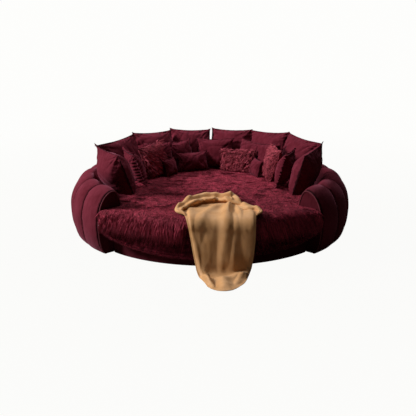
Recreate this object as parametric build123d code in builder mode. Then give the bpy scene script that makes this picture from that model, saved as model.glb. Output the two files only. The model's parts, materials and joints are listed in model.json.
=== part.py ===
from build123d import *
from math import atan2, cos, degrees, radians, sin
import os

os.makedirs("parts", exist_ok=True)

# Round lounging bed. The origin is on the floor at the centre of the ring, +Z is up,
# and the open front looks along -Y. Azimuths are counted from +X, anticlockwise.

# Overall sizes, millimetres and degrees
overall_diameter = 2900
arm_height = 627
seat_height = 452
mouth_angle = 94

# Bolster section, measured in from the outer radius and up from the floor
bolster_depth = 329
crest_setback = 212
foot_setback = 108
widest_height = 292
shoulder_height = 345
groove_depth = 10
pad_thickness = 55
inner_pad_thickness = 30
module_count = 4
channels_per_module = 5

# Boards and fixings of the two frames
board_thickness = 18
thin_board = 8
low_rail_width = 130
top_rail_width = 150
top_rail_height = 500
beam_width = 40
beam_count = 8
hub_radius = 90
bottom_ring_width = 150
base_height = 208
glide_radius = 25
glide_height = 6
base_glide_count = 8
bolster_glide_count = 10
dust_cover_thickness = 1.5
plate_thickness = 3
plate_width = 60
plate_reach = 70
plate_count = 8
screw_radius = 3
screw_length = 19
deck_bolt_radius = 5
deck_bolt_length = 60
deck_bolt_circle = 600
deck_bolt_count = 4

# Upholstery of the base and of the arm ends
base_overhang = 139
bolster_gap = 2
mouth_gap = 14
foam_thickness = 10
cover_thickness = 5
end_panel_thickness = 9
end_panel_inset = 14
piping_radius = 6

# Mattress and fur cover
mattress_clearance = 9
mattress_setback = 12
casing_thickness = 3
topper_thickness = 36
fur_thickness = 12
fur_skirt_thickness = 34
fur_edge_round = 90
fur_edge_drop = 68
fur_skirt_gap = 4
wing_reach = 142
hem_height = 90
wing_hem_height = 330

# Cushions: width, height and full thickness
back_cushion_size = (475, 480, 150)
arm_cushion_size = (480, 485, 160)
ruffled_cushion_size = (400, 400, 110)
fur_cushion_size = (385, 385, 110)
fur_lumbar_size = (420, 270, 104)
velvet_lumbar_size = (390, 240, 96)
centre_cushion_size = (440, 380, 100)
inner_cushion_size = (350, 370, 90)
small_cushion_size = (260, 205, 80)
cushion_sink = 10
frill_width = 18
frill_thickness = 6

# Throw
throw_width = 750
throw_top_length = 600
throw_floor_length = 375
throw_slant = 150
throw_thickness = 12
throw_fold_height = 26
throw_bunch_height = 70
throw_edge_gap = 3

# Clearances: between soft pieces, between boards, and how far a cut runs past
soft_gap = 0.3
board_gap = 0.1
overrun = 5

ring_r = overall_diameter / 2
inner_r = ring_r - bolster_depth
crest_r = ring_r - crest_setback
foot_r = ring_r - foot_setback
front_azimuth = 270
bolster_span = 360 - mouth_angle
arm_start = front_azimuth + mouth_angle / 2 - 360
arm_end = arm_start + bolster_span
channel_angle = bolster_span / (module_count * channels_per_module)
seam_angle = degrees(soft_gap / ring_r)


def at(radius, azimuth, height=0):
    """A point given by its radius, azimuth and height."""
    return Vector(radius * cos(radians(azimuth)), radius * sin(radians(azimuth)), height)


def radial_plane(azimuth):
    """An upright plane through the Z axis: its X runs outwards and its Y runs up."""
    return Plane(origin=(0, 0, 0), x_dir=at(1, azimuth), z_dir=at(1, azimuth - 90))


def save(part, name):
    """Label a finished piece and write it under its own name."""
    part.label = name
    export_step(part, "parts/" + name + ".step")


def quarter(centre, across, up, start):
    """A quarter of an ellipse, from its start angle anticlockwise."""
    EllipticalCenterArc(centre, across, up, start_angle=start, arc_size=90)


def bolster_back(inset):
    """The bolster's rounded line: up the inner wall, over the crest and down to the foot."""
    Line((inner_r + inset, glide_height + inset), (inner_r + inset, shoulder_height))
    over_inside = (crest_r - inner_r - inset, arm_height - shoulder_height - inset)
    over_outside = (ring_r - crest_r - inset, arm_height - widest_height - inset)
    under_outside = (ring_r - foot_r - inset, widest_height - glide_height - inset)
    quarter((crest_r, shoulder_height), *over_inside, 90)
    quarter((crest_r, widest_height), *over_outside, 0)
    quarter((foot_r, widest_height), *under_outside, 270)


def bolster_profile(inset):
    """The closed bolster section, drawn in by an inset on every side."""
    with BuildLine() as outline:
        bolster_back(inset)
        Line((foot_r, glide_height + inset), (inner_r + inset, glide_height + inset))
    make_face(outline.edges())


def frame_profile():
    """The hollow for the frame inside the padding, open below."""
    top = arm_height - pad_thickness
    wall = inner_r + inner_pad_thickness
    outer = ring_r - pad_thickness
    foot = foot_r - pad_thickness
    with BuildLine() as outline:
        Polyline(
            (foot, glide_height), (foot, -overrun), (wall, -overrun), (wall, shoulder_height)
        )
        quarter((crest_r, shoulder_height), crest_r - wall, top - shoulder_height, 90)
        quarter((crest_r, widest_height), outer - crest_r, top - widest_height, 0)
        quarter((foot, widest_height), outer - foot, widest_height - glide_height, 270)
    make_face(outline.edges())


def ring_band(inner, outer, start, end):
    """A flat band between two radii and two azimuths."""
    middle = (start + end) / 2
    with BuildLine() as outline:
        ThreePointArc(at(inner, start), at(inner, middle), at(inner, end))
        Line(at(inner, end), at(outer, end))
        ThreePointArc(at(outer, end), at(outer, middle), at(outer, start))
        Line(at(outer, start), at(inner, start))
    make_face(outline.edges())


def bed_plan(ring, front, side, mode=Mode.ADD):
    """The bed's plan: a round inside the bolster and a wider sector in the mouth.

    ring and front are its radii, and side is how far it stays back from the arm ends."""
    Circle(ring, mode=mode)
    start = arm_end + degrees(side / front)
    end = 2 * front_azimuth - start
    with BuildLine() as outline:
        Line((0, 0), at(front, start))
        ThreePointArc(at(front, start), at(front, front_azimuth), at(front, end))
        Line(at(front, end), (0, 0))
    make_face(outline.edges(), mode=mode)


# Sizes that the pieces of the base share
base_ring_r = inner_r - bolster_gap
front_r = inner_r + base_overhang
foam_depth = cover_thickness + soft_gap
rim_depth = foam_depth + foam_thickness + soft_gap
board_depth = rim_depth + thin_board + board_gap
base_bottom = glide_height
boards_top = base_bottom + board_thickness
deck_bottom = base_height - board_thickness
plate_bottom = base_bottom - plate_thickness
plate_inner = inner_r - plate_reach
plate_outer = inner_r + inner_pad_thickness + plate_reach
rail_inner = inner_r + inner_pad_thickness + board_gap
rail_outer = rail_inner + low_rail_width
plate_turns = [arm_start + bolster_span * (n + 0.5) / plate_count for n in range(plate_count)]
screw_radii = ((plate_inner + base_ring_r - board_depth) / 2, (rail_inner + plate_outer) / 2)
screw_places = [at(radius, turn) for radius in screw_radii for turn in plate_turns]
beam_turn = 360 / beam_count


def base_plan(depth, mode=Mode.ADD):
    """The plan of the base, a depth in from the face of its cover."""
    bed_plan(base_ring_r - depth, front_r - depth, mouth_gap + depth, mode)


def screw_holes():
    """Clearance holes for the joining screws, cut from the underside up."""
    with BuildSketch(Plane.XY.offset(plate_bottom)) as holes:
        with Locations(*screw_places):
            Circle(screw_radius + board_gap)
    extrude(holes.sketch, amount=screw_length + board_gap, mode=Mode.SUBTRACT)


# Glides, dust cover and the plates that join bolster and base from below
with BuildPart() as base_glides:
    with BuildSketch():
        Circle(glide_radius)
        with PolarLocations(plate_inner - 2 * glide_radius, base_glide_count):
            Circle(glide_radius)
    extrude(amount=base_bottom - dust_cover_thickness)
save(base_glides.part, "base_glides")

with BuildPart() as bolster_glides:
    with BuildSketch():
        for index in range(bolster_glide_count):
            turn = arm_start + bolster_span * (index + 0.5) / bolster_glide_count
            with Locations(at((rail_inner + rail_outer) / 2, turn)):
                Circle(glide_radius)
    extrude(amount=glide_height)
save(bolster_glides.part, "bolster_glides")

with BuildPart() as dust_cover:
    with BuildSketch(Plane.XY.offset(base_bottom - dust_cover_thickness)):
        Circle(plate_inner - soft_gap)
    extrude(amount=dust_cover_thickness)
save(dust_cover.part, "dust_cover")

with BuildPart() as joining_plates:
    for turn in plate_turns:
        with BuildSketch(Plane(origin=at((plate_inner + plate_outer) / 2, turn, plate_bottom),
                               x_dir=at(1, turn), z_dir=(0, 0, 1))):
            Rectangle(plate_outer - plate_inner, plate_width)
    extrude(amount=plate_thickness)
    screw_holes()
save(joining_plates.part, "joining_plates")

with BuildPart() as joining_screws:
    with BuildSketch(Plane.XY.offset(plate_bottom)):
        with Locations(*screw_places):
            Circle(screw_radius)
    extrude(amount=screw_length)
save(joining_screws.part, "joining_screws")

# Base frame: bottom ring, hub, radial beams, bent rim and a deck in two halves
with BuildPart() as base_bottom_ring:
    with BuildSketch(Plane.XY.offset(base_bottom)):
        base_plan(board_depth)
        Circle(base_ring_r - board_depth - bottom_ring_width, mode=Mode.SUBTRACT)
    extrude(amount=board_thickness)
    screw_holes()
save(base_bottom_ring.part, "base_bottom_ring")

with BuildPart() as base_hub:
    with BuildSketch(Plane.XY.offset(base_bottom)):
        Circle(hub_radius)
    extrude(amount=deck_bottom - base_bottom)
save(base_hub.part, "base_hub")

with BuildPart() as base_beams:
    with BuildSketch(Plane.XY.offset(boards_top)):
        with PolarLocations(0, beam_count, start_angle=beam_turn / 2):
            Rectangle(
                base_ring_r - board_depth - soft_gap, beam_width, align=(Align.MIN, Align.CENTER)
            )
        Circle(hub_radius + board_gap, mode=Mode.SUBTRACT)
    extrude(amount=deck_bottom - boards_top)
    with BuildSketch(Plane.XY.offset(base_height)):
        with PolarLocations(deck_bolt_circle, deck_bolt_count, start_angle=beam_turn / 2):
            Circle(deck_bolt_radius + board_gap)
    extrude(amount=-deck_bolt_length - board_gap, mode=Mode.SUBTRACT)
save(base_beams.part, "base_beams")

with BuildPart() as base_rim:
    with BuildSketch(Plane.XY.offset(base_bottom)):
        base_plan(rim_depth)
        base_plan(rim_depth + thin_board, Mode.SUBTRACT)
    extrude(amount=deck_bottom - base_bottom)
save(base_rim.part, "base_rim")

for name, side in (("deck_left", Align.MAX), ("deck_right", Align.MIN)):
    with BuildPart() as deck_half:
        with BuildSketch(Plane.XY.offset(deck_bottom)):
            base_plan(rim_depth)
            Rectangle(board_gap, overall_diameter, mode=Mode.SUBTRACT)
            Rectangle(
                ring_r, overall_diameter, align=(side, Align.CENTER), mode=Mode.INTERSECT
            )
            with PolarLocations(deck_bolt_circle, deck_bolt_count, start_angle=beam_turn / 2):
                Circle(deck_bolt_radius + board_gap, mode=Mode.SUBTRACT)
        extrude(amount=board_thickness)
    save(deck_half.part, name)

with BuildPart() as deck_bolts:
    with BuildSketch(Plane.XY.offset(base_height)):
        with PolarLocations(deck_bolt_circle, deck_bolt_count, start_angle=beam_turn / 2):
            Circle(deck_bolt_radius)
    extrude(amount=-deck_bolt_length)
save(deck_bolts.part, "deck_bolts")

# Upholstery of the base: a foam layer and the velvet band that shows below the fur
with BuildPart() as base_foam:
    with BuildSketch(Plane.XY.offset(base_bottom)):
        base_plan(foam_depth)
        base_plan(foam_depth + foam_thickness, Mode.SUBTRACT)
    extrude(amount=base_height - base_bottom)
save(base_foam.part, "base_foam")

with BuildPart() as base_cover:
    with BuildSketch(Plane.XY.offset(base_bottom)):
        base_plan(0)
        base_plan(cover_thickness, Mode.SUBTRACT)
    extrude(amount=base_height - base_bottom)
save(base_cover.part, "base_cover")

# Bolster frame, one set for each half: low rails, top rails, inner panels and ribs
module_span = bolster_span / module_count
half_names = ("right", "left")
rib_shares = (0.08, 0.36, 0.64, 0.92)
panel_outer = rail_inner + thin_board
top_rail_inner = crest_r - top_rail_width * 0.4
top_rail_outer = top_rail_inner + top_rail_width
top_rail_bottom = top_rail_height - board_thickness
rib_belly_r = ring_r - pad_thickness - board_thickness
rib_shoulder_r = rib_belly_r - board_thickness
for half, half_name in enumerate(half_names):
    modules = [arm_start + module_span * (2 * half + side) for side in range(2)]
    spans = [(start + 4 * seam_angle, start + module_span - 4 * seam_angle) for start in modules]

    with BuildPart() as low_rails:
        with BuildSketch(Plane.XY.offset(glide_height)):
            for start, end in spans:
                ring_band(rail_inner, rail_outer, start + 1, end - 1)
        extrude(amount=board_thickness)
        screw_holes()
    save(low_rails.part, "bolster_low_rails_" + half_name)

    with BuildPart() as top_rails:
        with BuildSketch(Plane.XY.offset(top_rail_bottom)):
            for start, end in spans:
                ring_band(top_rail_inner, top_rail_outer, start + 1, end - 1)
        extrude(amount=board_thickness)
    save(top_rails.part, "bolster_top_rails_" + half_name)

    with BuildPart() as inner_panels:
        with BuildSketch(Plane.XY.offset(boards_top)):
            for start, end in spans:
                ring_band(rail_inner, panel_outer, start + 1, end - 1)
        extrude(amount=shoulder_height - boards_top)
    save(inner_panels.part, "bolster_inner_panels_" + half_name)

    with BuildPart() as ribs:
        for start in modules:
            for share in rib_shares:
                with BuildSketch(radial_plane(start + module_span * share)):
                    with BuildLine():
                        Polyline(
                            (rail_outer, boards_top),
                            (panel_outer + board_gap, boards_top),
                            (panel_outer + board_gap, shoulder_height),
                            (top_rail_inner, top_rail_bottom),
                            (top_rail_outer, top_rail_bottom),
                        )
                        ThreePointArc(
                            (top_rail_outer, top_rail_bottom),
                            (rib_shoulder_r, (top_rail_bottom + widest_height) / 2),
                            (rib_belly_r, widest_height),
                        )
                        Line((rib_belly_r, widest_height), (rail_outer, boards_top))
                    make_face()
                extrude(amount=board_thickness / 2, both=True)
    save(ribs.part, "bolster_ribs_" + half_name)

# Bolster padding: each module is a row of channels, full in the middle and drawn in at
# the seams, wrapped round the frame. The end modules stop behind their end panels.
module_names = ("bolster_right_arm", "bolster_back_right", "bolster_back_left", "bolster_left_arm")


def behind_panel(plane, side):
    """Cut the end of a module flat, one panel thickness behind the plane of the arm end."""
    with BuildSketch(plane) as end_cut:
        with Locations((ring_r, 0)):
            Rectangle(ring_r, 2 * ring_r)
    depth = side * (end_panel_thickness + soft_gap)
    extrude(end_cut.sketch, amount=depth, mode=Mode.SUBTRACT)


for module, name in enumerate(module_names):
    with BuildPart() as padding:
        for channel in range(channels_per_module):
            number = module * channels_per_module + channel
            start = arm_start + channel_angle * number + seam_angle
            end = start + channel_angle - 2 * seam_angle
            first_inset = 0 if number == 0 else groove_depth
            last_inset = 0 if number == module_count * channels_per_module - 1 else groove_depth
            with BuildSketch(radial_plane(start)):
                bolster_profile(first_inset)
            with BuildSketch(radial_plane((start + end) / 2)):
                bolster_profile(0)
            with BuildSketch(radial_plane(end)):
                bolster_profile(last_inset)
            loft()
            with BuildSketch(radial_plane(start - seam_angle)):
                frame_profile()
            revolve(axis=Axis.Z, revolution_arc=channel_angle, mode=Mode.SUBTRACT)
        if module == 0:
            behind_panel(radial_plane(arm_start), -1)
        if module == module_count - 1:
            behind_panel(radial_plane(arm_end), 1)
    save(padding.part, name)

# Arm ends: a flat upholstered panel in a piped border
for name, azimuth, inwards in (("right", arm_start, -1), ("left", arm_end, 1)):
    end_plane = radial_plane(azimuth)
    with BuildPart() as end_panel:
        with BuildSketch(end_plane):
            bolster_profile(end_panel_inset)
        extrude(amount=inwards * end_panel_thickness)
    save(end_panel.part, "end_panel_" + name)

    piping_depth = end_panel_thickness - piping_radius
    with BuildPart() as piping:
        with BuildLine(end_plane.offset(inwards * piping_depth)) as piping_line:
            bolster_back(piping_radius)
        piping_start = piping_line.line @ 0
        with BuildSketch(Plane(origin=piping_start, z_dir=piping_line.line % 0)):
            Circle(piping_radius)
        sweep(path=piping_line.line)
    save(piping.part, "end_piping_" + name)

# Mattress: casing, core and topper, on the deck
mattress_bottom = base_height + soft_gap
mattress_top = seat_height - fur_thickness - soft_gap
mattress_ring_r = inner_r - mattress_clearance
mattress_front_r = front_r - mattress_setback
core_bottom = mattress_bottom + casing_thickness + soft_gap
topper_top = mattress_top - casing_thickness - soft_gap
topper_bottom = topper_top - topper_thickness


def mattress_plan(depth, mode=Mode.ADD):
    """The plan of the mattress, a depth in from the face of its casing."""
    bed_plan(mattress_ring_r - depth, mattress_front_r - depth, mouth_gap + depth, mode)


with BuildPart() as mattress_casing:
    with BuildSketch(Plane.XY.offset(mattress_bottom)):
        mattress_plan(0)
    extrude(amount=mattress_top - mattress_bottom)
    with BuildSketch(Plane.XY.offset(mattress_bottom + casing_thickness)):
        mattress_plan(casing_thickness)
    extrude(amount=mattress_top - mattress_bottom - 2 * casing_thickness, mode=Mode.SUBTRACT)
save(mattress_casing.part, "mattress_casing")

with BuildPart() as mattress_core:
    with BuildSketch(Plane.XY.offset(core_bottom)):
        mattress_plan(casing_thickness + soft_gap)
    extrude(amount=topper_bottom - soft_gap - core_bottom)
save(mattress_core.part, "mattress_core")

with BuildPart() as mattress_topper:
    with BuildSketch(Plane.XY.offset(topper_bottom)):
        mattress_plan(casing_thickness + soft_gap)
    extrude(amount=topper_thickness)
save(mattress_topper.part, "mattress_topper")

# Fur cover: a flat top and a skirt that rounds over the front. Towards the arm ends the
# skirt spreads out over their faces and its hem rises. Each row of shares is the place
# across half the mouth, then how far the reach and the hem have gone to their end values.
fur_bottom = seat_height - fur_thickness
fur_front_r = front_r + fur_skirt_gap + fur_skirt_thickness
fur_root_r = mattress_ring_r - fur_skirt_thickness
skirt_station_shares = (
    (0, 0, 0),
    (0.36, 0.04, 0.03),
    (0.56, 0.12, 0.10),
    (0.71, 0.26, 0.20),
    (0.83, 0.50, 0.38),
    (0.92, 0.78, 0.64),
    (0.98, 1, 1),
)
skirt_stations = [(-place, reach, rise) for place, reach, rise in skirt_station_shares[:0:-1]]
skirt_stations.extend(skirt_station_shares)


def skirt_profile(reach_share, rise_share):
    """The fur's section over the front edge, from its root on top down to the hem."""
    reach = fur_front_r + wing_reach * reach_share
    hem = hem_height + (wing_hem_height - hem_height) * rise_share
    inside = reach - fur_skirt_thickness
    round_start = reach - fur_edge_round
    round_end = seat_height - fur_edge_drop
    hem_corner = (reach - 0.2 * fur_skirt_thickness, hem + 0.25 * fur_skirt_thickness)
    lowest = (reach - 0.6 * fur_skirt_thickness, hem)
    with BuildLine() as outline:
        Line((fur_root_r, fur_bottom), (fur_root_r, seat_height))
        Line((fur_root_r, seat_height), (round_start, seat_height))
        quarter((round_start, round_end), fur_edge_round, fur_edge_drop, 0)
        Line((reach, round_end), hem_corner)
        Line(hem_corner, lowest)
        Line(lowest, (inside, hem + fur_skirt_thickness / 2))
        Line((inside, hem + fur_skirt_thickness / 2), (inside, round_end))
        Line((inside, round_end), (mattress_front_r + fur_skirt_gap, fur_bottom))
        Line((mattress_front_r + fur_skirt_gap, fur_bottom), (fur_root_r, fur_bottom))
    make_face(outline.edges())


with BuildPart() as fur_cover:
    for place, reach_share, rise_share in skirt_stations:
        with BuildSketch(radial_plane(front_azimuth + place * mouth_angle / 2)):
            skirt_profile(reach_share, rise_share)
    loft()
    with BuildSketch(Plane.XY.offset(fur_bottom)):
        bed_plan(mattress_ring_r, fur_root_r + fur_skirt_thickness + overrun, 2 * mouth_gap)
    extrude(amount=fur_thickness)
save(fur_cover.part, "fur_cover")

# Cushions: a crowned body with drawn-in sides and eared corners, cut flat where it
# stands on the fur. Each row holds the place of the lower seam and how it is turned:
# its azimuth, its radius as a share of the bolster's inner radius, the turn of its face
# away from the centre, how far it leans back and how far it tips sideways, in degrees.
crown_shares = (
    (0, 1, 0.06),
    (0.45, 0.9, 0.015),
    (0.8, 0.66, -0.03),
    (0.95, 0.38, -0.03),
    (1, 0.14, -0.01),
)
cushion_place_shares = {
    "back_cushion_1": (back_cushion_size, 157.7, 0.845, -21.5, 17, 7, 0),
    "back_cushion_2": (back_cushion_size, 127.3, 0.905, -10.9, 18.6, 0, 0),
    "back_cushion_3": (back_cushion_size, 103.1, 0.917, -4.6, 19.6, -2.4, 0),
    "back_cushion_4": (back_cushion_size, 77.6, 0.921, -2.0, 19.6, 0, 0),
    "back_cushion_5": (back_cushion_size, 51.8, 0.929, 0.7, 17.5, 2.5, 0),
    "back_cushion_6": (back_cushion_size, 27.8, 0.901, 10.4, 19.7, -6, 0),
    "arm_cushion_left": (arm_cushion_size, 191.3, 0.814, 23.0, 22.4, 3, 0),
    "arm_cushion_right": (arm_cushion_size, 348.4, 0.847, -15.7, 18.2, -6.3, 0),
    "ruffled_cushion_left": (ruffled_cushion_size, 168.2, 0.674, 34.6, 20.6, -0.6, frill_width),
    "ruffled_cushion_right": (ruffled_cushion_size, 5.2, 0.673, -26.0, 15.6, 0.7, frill_width),
    "fur_cushion_left": (fur_cushion_size, 139.5, 0.675, 8.9, 19.7, 3.6, 0),
    "fur_cushion_right": (fur_cushion_size, 30.8, 0.653, -22.8, 17.4, -2.6, 0),
    "fur_lumbar": (fur_lumbar_size, 65.7, 0.725, 0.2, 10.7, 3, 0),
    "velvet_lumbar": (velvet_lumbar_size, 104.1, 0.714, 5.0, 18.2, 0, 0),
    "centre_cushion": (centre_cushion_size, 86.1, 0.807, -0.5, 15.9, 0.9, 0),
    "inner_cushion_1": (inner_cushion_size, 110.1, 0.805, 7.7, 16.5, 4.9, 0),
    "inner_cushion_2": (inner_cushion_size, 130.3, 0.797, -27.7, 14.3, 0.9, 0),
    "inner_cushion_3": (inner_cushion_size, 62.8, 0.821, -5.1, 17.7, -7.4, 0),
    "inner_cushion_4": (inner_cushion_size, 41.8, 0.794, 8.5, 9.7, 7.2, 0),
    "small_cushion_left": (small_cushion_size, 128, 0.62, 25, 17.6, 0, 0),
    "small_cushion_right": (small_cushion_size, 46, 0.64, -30, 15.3, 1, 0),
}


def cushion_plane(azimuth, radius, turn, lean, tip):
    """The plane of a cushion's seam: origin at its lower edge, Y up the cushion."""
    facing = at(1, azimuth + 180 + turn)
    upright = Vector(0, 0, 1)
    up = upright * cos(radians(lean)) - facing * sin(radians(lean))
    normal = facing * cos(radians(lean)) + upright * sin(radians(lean))
    across = up.cross(normal) * cos(radians(tip)) + up * sin(radians(tip))
    origin = at(radius, azimuth, seat_height + soft_gap - cushion_sink)
    return Plane(origin=origin, x_dir=across, z_dir=normal)


def cushion_outline(width, height, scale, bow):
    """A four-sided outline about the cushion's middle, its sides bowed in by a share."""
    side = width / 2 * scale
    low = height / 2 * (1 - scale)
    high = height / 2 * (1 + scale)
    side_bow = width * bow
    end_bow = height * bow
    with BuildLine() as outline:
        ThreePointArc((-side, low), (0, low + end_bow), (side, low))
        ThreePointArc((side, low), (side - side_bow, height / 2), (side, high))
        ThreePointArc((side, high), (0, high - end_bow), (-side, high))
        ThreePointArc((-side, high), (side_bow - side, height / 2), (-side, low))
    make_face(outline.edges())


for name, (size, azimuth, radius_share, turn, lean, tip, frill) in cushion_place_shares.items():
    width, height, thickness = size
    seam = cushion_plane(azimuth, inner_r * radius_share, turn, lean, tip)
    with BuildPart() as cushion:
        for side in (1, -1):
            for rise_share, scale, bow in crown_shares:
                with BuildSketch(seam.offset(side * rise_share * thickness / 2)):
                    body_scale = scale * (1 - 2 * frill / width)
                    cushion_outline(width, height, body_scale, bow)
            loft()
        if frill:
            with BuildSketch(seam):
                cushion_outline(width, height, 1, crown_shares[0][2])
            extrude(amount=frill_thickness / 2, both=True)
        split(bisect_by=Plane.XY.offset(seat_height + soft_gap), keep=Keep.TOP)
    save(cushion.part, name)

# Throw: bunched on the fur, over the front edge, down to the floor and out along it. It
# is lofted through sections across it. Each row of shares gives where a section lies on
# its stretch, its left and right sides across the width, its bunch and its folds. Below
# the edge it leans out, so that its foot stands clear of the base.
throw_rest = seat_height + soft_gap
throw_front = fur_front_r + throw_edge_gap
throw_bend = 3 * throw_thickness
round_y = fur_edge_round - fur_front_r
round_z = seat_height - fur_edge_drop
hang_tilt = 90 - degrees(atan2(throw_slant, round_z))
throw_top_shares = (
    (1, -0.13, 0.20, 0.3, 0.6),
    (0.87, -0.27, 0.33, 1, 1),
    (0.58, -0.36, 0.42, 0.8, 1),
    (0.3, -0.43, 0.53, 0.5, 1),
    (0.08, -0.39, 0.57, 0.2, 1),
)
throw_edge_shares = (
    (0, -0.34, 0.56, 0.1, 1),
    (0.2, -0.32, 0.55, 0, 1),
    (0.4, -0.29, 0.545, 0, 1),
    (0.6, -0.27, 0.54, 0, 1),
    (0.8, -0.25, 0.53, 0, 1),
)
throw_hang_shares = (
    (0.6, -0.215, 0.525, 0, 1.1),
    (0.3, -0.175, 0.51, 0, 1.1),
    (0.15, -0.15, 0.49, 0, 1),
)
throw_floor_shares = (
    (0, -0.14, 0.47, 0, 0.9),
    (0.12, -0.12, 0.45, 0, 0.8),
    (0.5, -0.09, 0.42, 0, 0.6),
    (0.8, -0.05, 0.38, 0, 0.4),
    (1, 0.08, 0.32, 0, 0.1),
)
fold_place_shares = (0, 0.15, 0.30, 0.43, 0.58, 0.72, 0.87, 1)


def throw_section(left, right, bunch, folds):
    """One section across the throw: flat behind, folded in front."""
    x_left = throw_width * left
    x_right = throw_width * right
    body = throw_thickness + throw_bunch_height * bunch
    crest = body + throw_fold_height * folds
    valley = body - throw_thickness * folds / 2
    corners = [(x_left + (x_right - x_left) * share, body) for share in fold_place_shares]
    with BuildLine() as outline:
        Polyline(corners[0], (x_left, 0), (x_right, 0), corners[-1])
        for index, (first, last) in enumerate(zip(corners[:-1], corners[1:])):
            middle = ((first[0] + last[0]) / 2, valley if index % 2 else crest)
            ThreePointArc(first, middle, last)
    make_face(outline.edges())


def throw_plane(y, z, tilt):
    """A plane across the throw: X along its width, Y away from what it lies on."""
    outwards = Vector(0, -sin(radians(tilt)), cos(radians(tilt)))
    return Plane(origin=(0, y, z), x_dir=(1, 0, 0), z_dir=Vector(1, 0, 0).cross(outwards))


with BuildPart() as throw:
    for place, *section in throw_top_shares:
        with BuildSketch(throw_plane(round_y + throw_top_length * place, throw_rest, 0)):
            throw_section(*section)
    for place, *section in throw_edge_shares:
        tilt = 90 * place
        edge_y = round_y - (fur_edge_round + throw_edge_gap) * sin(radians(tilt))
        edge_z = round_z + (fur_edge_drop + throw_edge_gap) * cos(radians(tilt))
        with BuildSketch(throw_plane(edge_y, edge_z, tilt)):
            throw_section(*section)
    for place, *section in throw_hang_shares:
        hang_y = -throw_front - throw_slant * (1 - place)
        with BuildSketch(throw_plane(hang_y, round_z * place, hang_tilt)):
            throw_section(*section)
    for place, *section in throw_floor_shares:
        floor_y = -throw_front - throw_slant - throw_bend / 2 - throw_floor_length * place
        bend = 45 if place == 0 else 0
        floor_z = soft_gap + (throw_bend / 2 if place == 0 else 0)
        with BuildSketch(throw_plane(floor_y, floor_z, bend)):
            throw_section(*section)
    loft(ruled=True)
save(throw.part, "throw")
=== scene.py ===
# %% [markdown]
# # A round velvet bed, dressed in Blender
# The rigid frame comes packed from CAD, in metres, with +Z up and the open front looking
# along -Y. Nothing of it is moved here. Everything that is cloth, fur or stuffing gets a
# piece of its own, built over the plain CAD solid that it stands for.

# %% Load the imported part
import json
import math

import bpy
import numpy as np
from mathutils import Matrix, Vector, noise
from mathutils.bvhtree import BVHTree


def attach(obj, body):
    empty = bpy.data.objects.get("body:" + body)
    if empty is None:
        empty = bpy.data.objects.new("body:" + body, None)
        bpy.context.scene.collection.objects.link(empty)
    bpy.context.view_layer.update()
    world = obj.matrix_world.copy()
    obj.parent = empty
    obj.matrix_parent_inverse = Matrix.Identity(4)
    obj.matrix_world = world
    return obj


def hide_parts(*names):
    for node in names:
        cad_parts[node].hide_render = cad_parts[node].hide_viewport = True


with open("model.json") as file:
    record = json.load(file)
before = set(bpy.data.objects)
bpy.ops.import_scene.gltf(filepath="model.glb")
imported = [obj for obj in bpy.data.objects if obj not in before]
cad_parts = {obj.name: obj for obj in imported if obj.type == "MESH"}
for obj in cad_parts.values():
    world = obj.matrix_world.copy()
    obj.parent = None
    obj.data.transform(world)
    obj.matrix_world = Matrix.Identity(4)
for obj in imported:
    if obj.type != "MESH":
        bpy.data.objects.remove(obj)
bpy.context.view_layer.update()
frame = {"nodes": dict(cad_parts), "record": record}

scene = bpy.context.scene

# %% [markdown]
# ## Camera
# The picture was taken from the front, about seven metres away and a little above head
# height, looking slightly down. A shift of two pixels puts the bed where the picture has it.

# %% Camera
camera_place, camera_pitch = (0, -7.223, 2.152), 15.052
camera_data = bpy.data.cameras.new("camera")
camera_data.lens = 60.58
camera_data.sensor_width = 36
camera_data.shift_x = -0.0046
camera = bpy.data.objects.new("camera", camera_data)
camera.location = camera_place
camera.rotation_euler = (math.radians(90 - camera_pitch), 0, 0)
scene.collection.objects.link(camera)
scene.camera = camera
print("camera at", tuple(camera.location))

# %% [markdown]
# ## Soft studio light
# The left arm and the tops of the cushions are lit, while the front and the right side fall
# into deep shade. So one large lamp stands far out at the left, rather low, a weaker one
# hangs overhead, and the world adds next to nothing.

# %% Lamps
bed_middle = Vector((0, 0, 0.45))


def add_lamp(name, direction, distance, size, power):
    """A square lamp in a direction from the bed's middle, turned to face it."""
    lamp = bpy.data.lights.new(name, "AREA")
    lamp.shape = "SQUARE"
    lamp.size = size
    lamp.energy = power
    holder = bpy.data.objects.new(name, lamp)
    holder.location = bed_middle + Vector(direction).normalized() * distance
    holder.rotation_euler = (-Vector(direction)).to_track_quat("-Z", "Y").to_euler()
    scene.collection.objects.link(holder)


add_lamp("key_lamp", (-0.86, -0.07, 0.50), 9.0, 2.0, 960)
add_lamp("top_lamp", (0.05, 0.32, 0.88), 4.0, 2.0, 68)
print("lamps placed")

# %% [markdown]
# ## Shader maths as Python expressions
# A material is a small program made of nodes. Wrapping a socket in a class lets us write
# that program as ordinary arithmetic: every sum or product of wires adds one Math node.

# %% Wires


class Wire:
    """An output socket of a finish, for use in expressions."""

    def __init__(self, finish, socket):
        self.finish = finish
        self.socket = socket

    def maths(self, operation, first, second):
        return self.finish.node("ShaderNodeMath", {"operation": operation}, {0: first, 1: second})

    def __add__(self, other):
        return self.maths("ADD", self, other)

    def __radd__(self, other):
        return self.maths("ADD", other, self)

    def __sub__(self, other):
        return self.maths("SUBTRACT", self, other)

    def __rsub__(self, other):
        return self.maths("SUBTRACT", other, self)

    def __mul__(self, other):
        return self.maths("MULTIPLY", self, other)

    def __rmul__(self, other):
        return self.maths("MULTIPLY", other, self)


print("wires ready")

# %% [markdown]
# ## A finish is one shader and what feeds it
# Every material here is a Principled shader. Its plain numbers are set on its own sockets,
# and only what changes over the surface comes from nodes. All nodes read the object's own
# place, so a pattern keeps its size in metres on every piece.

# %% Finish helper


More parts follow.
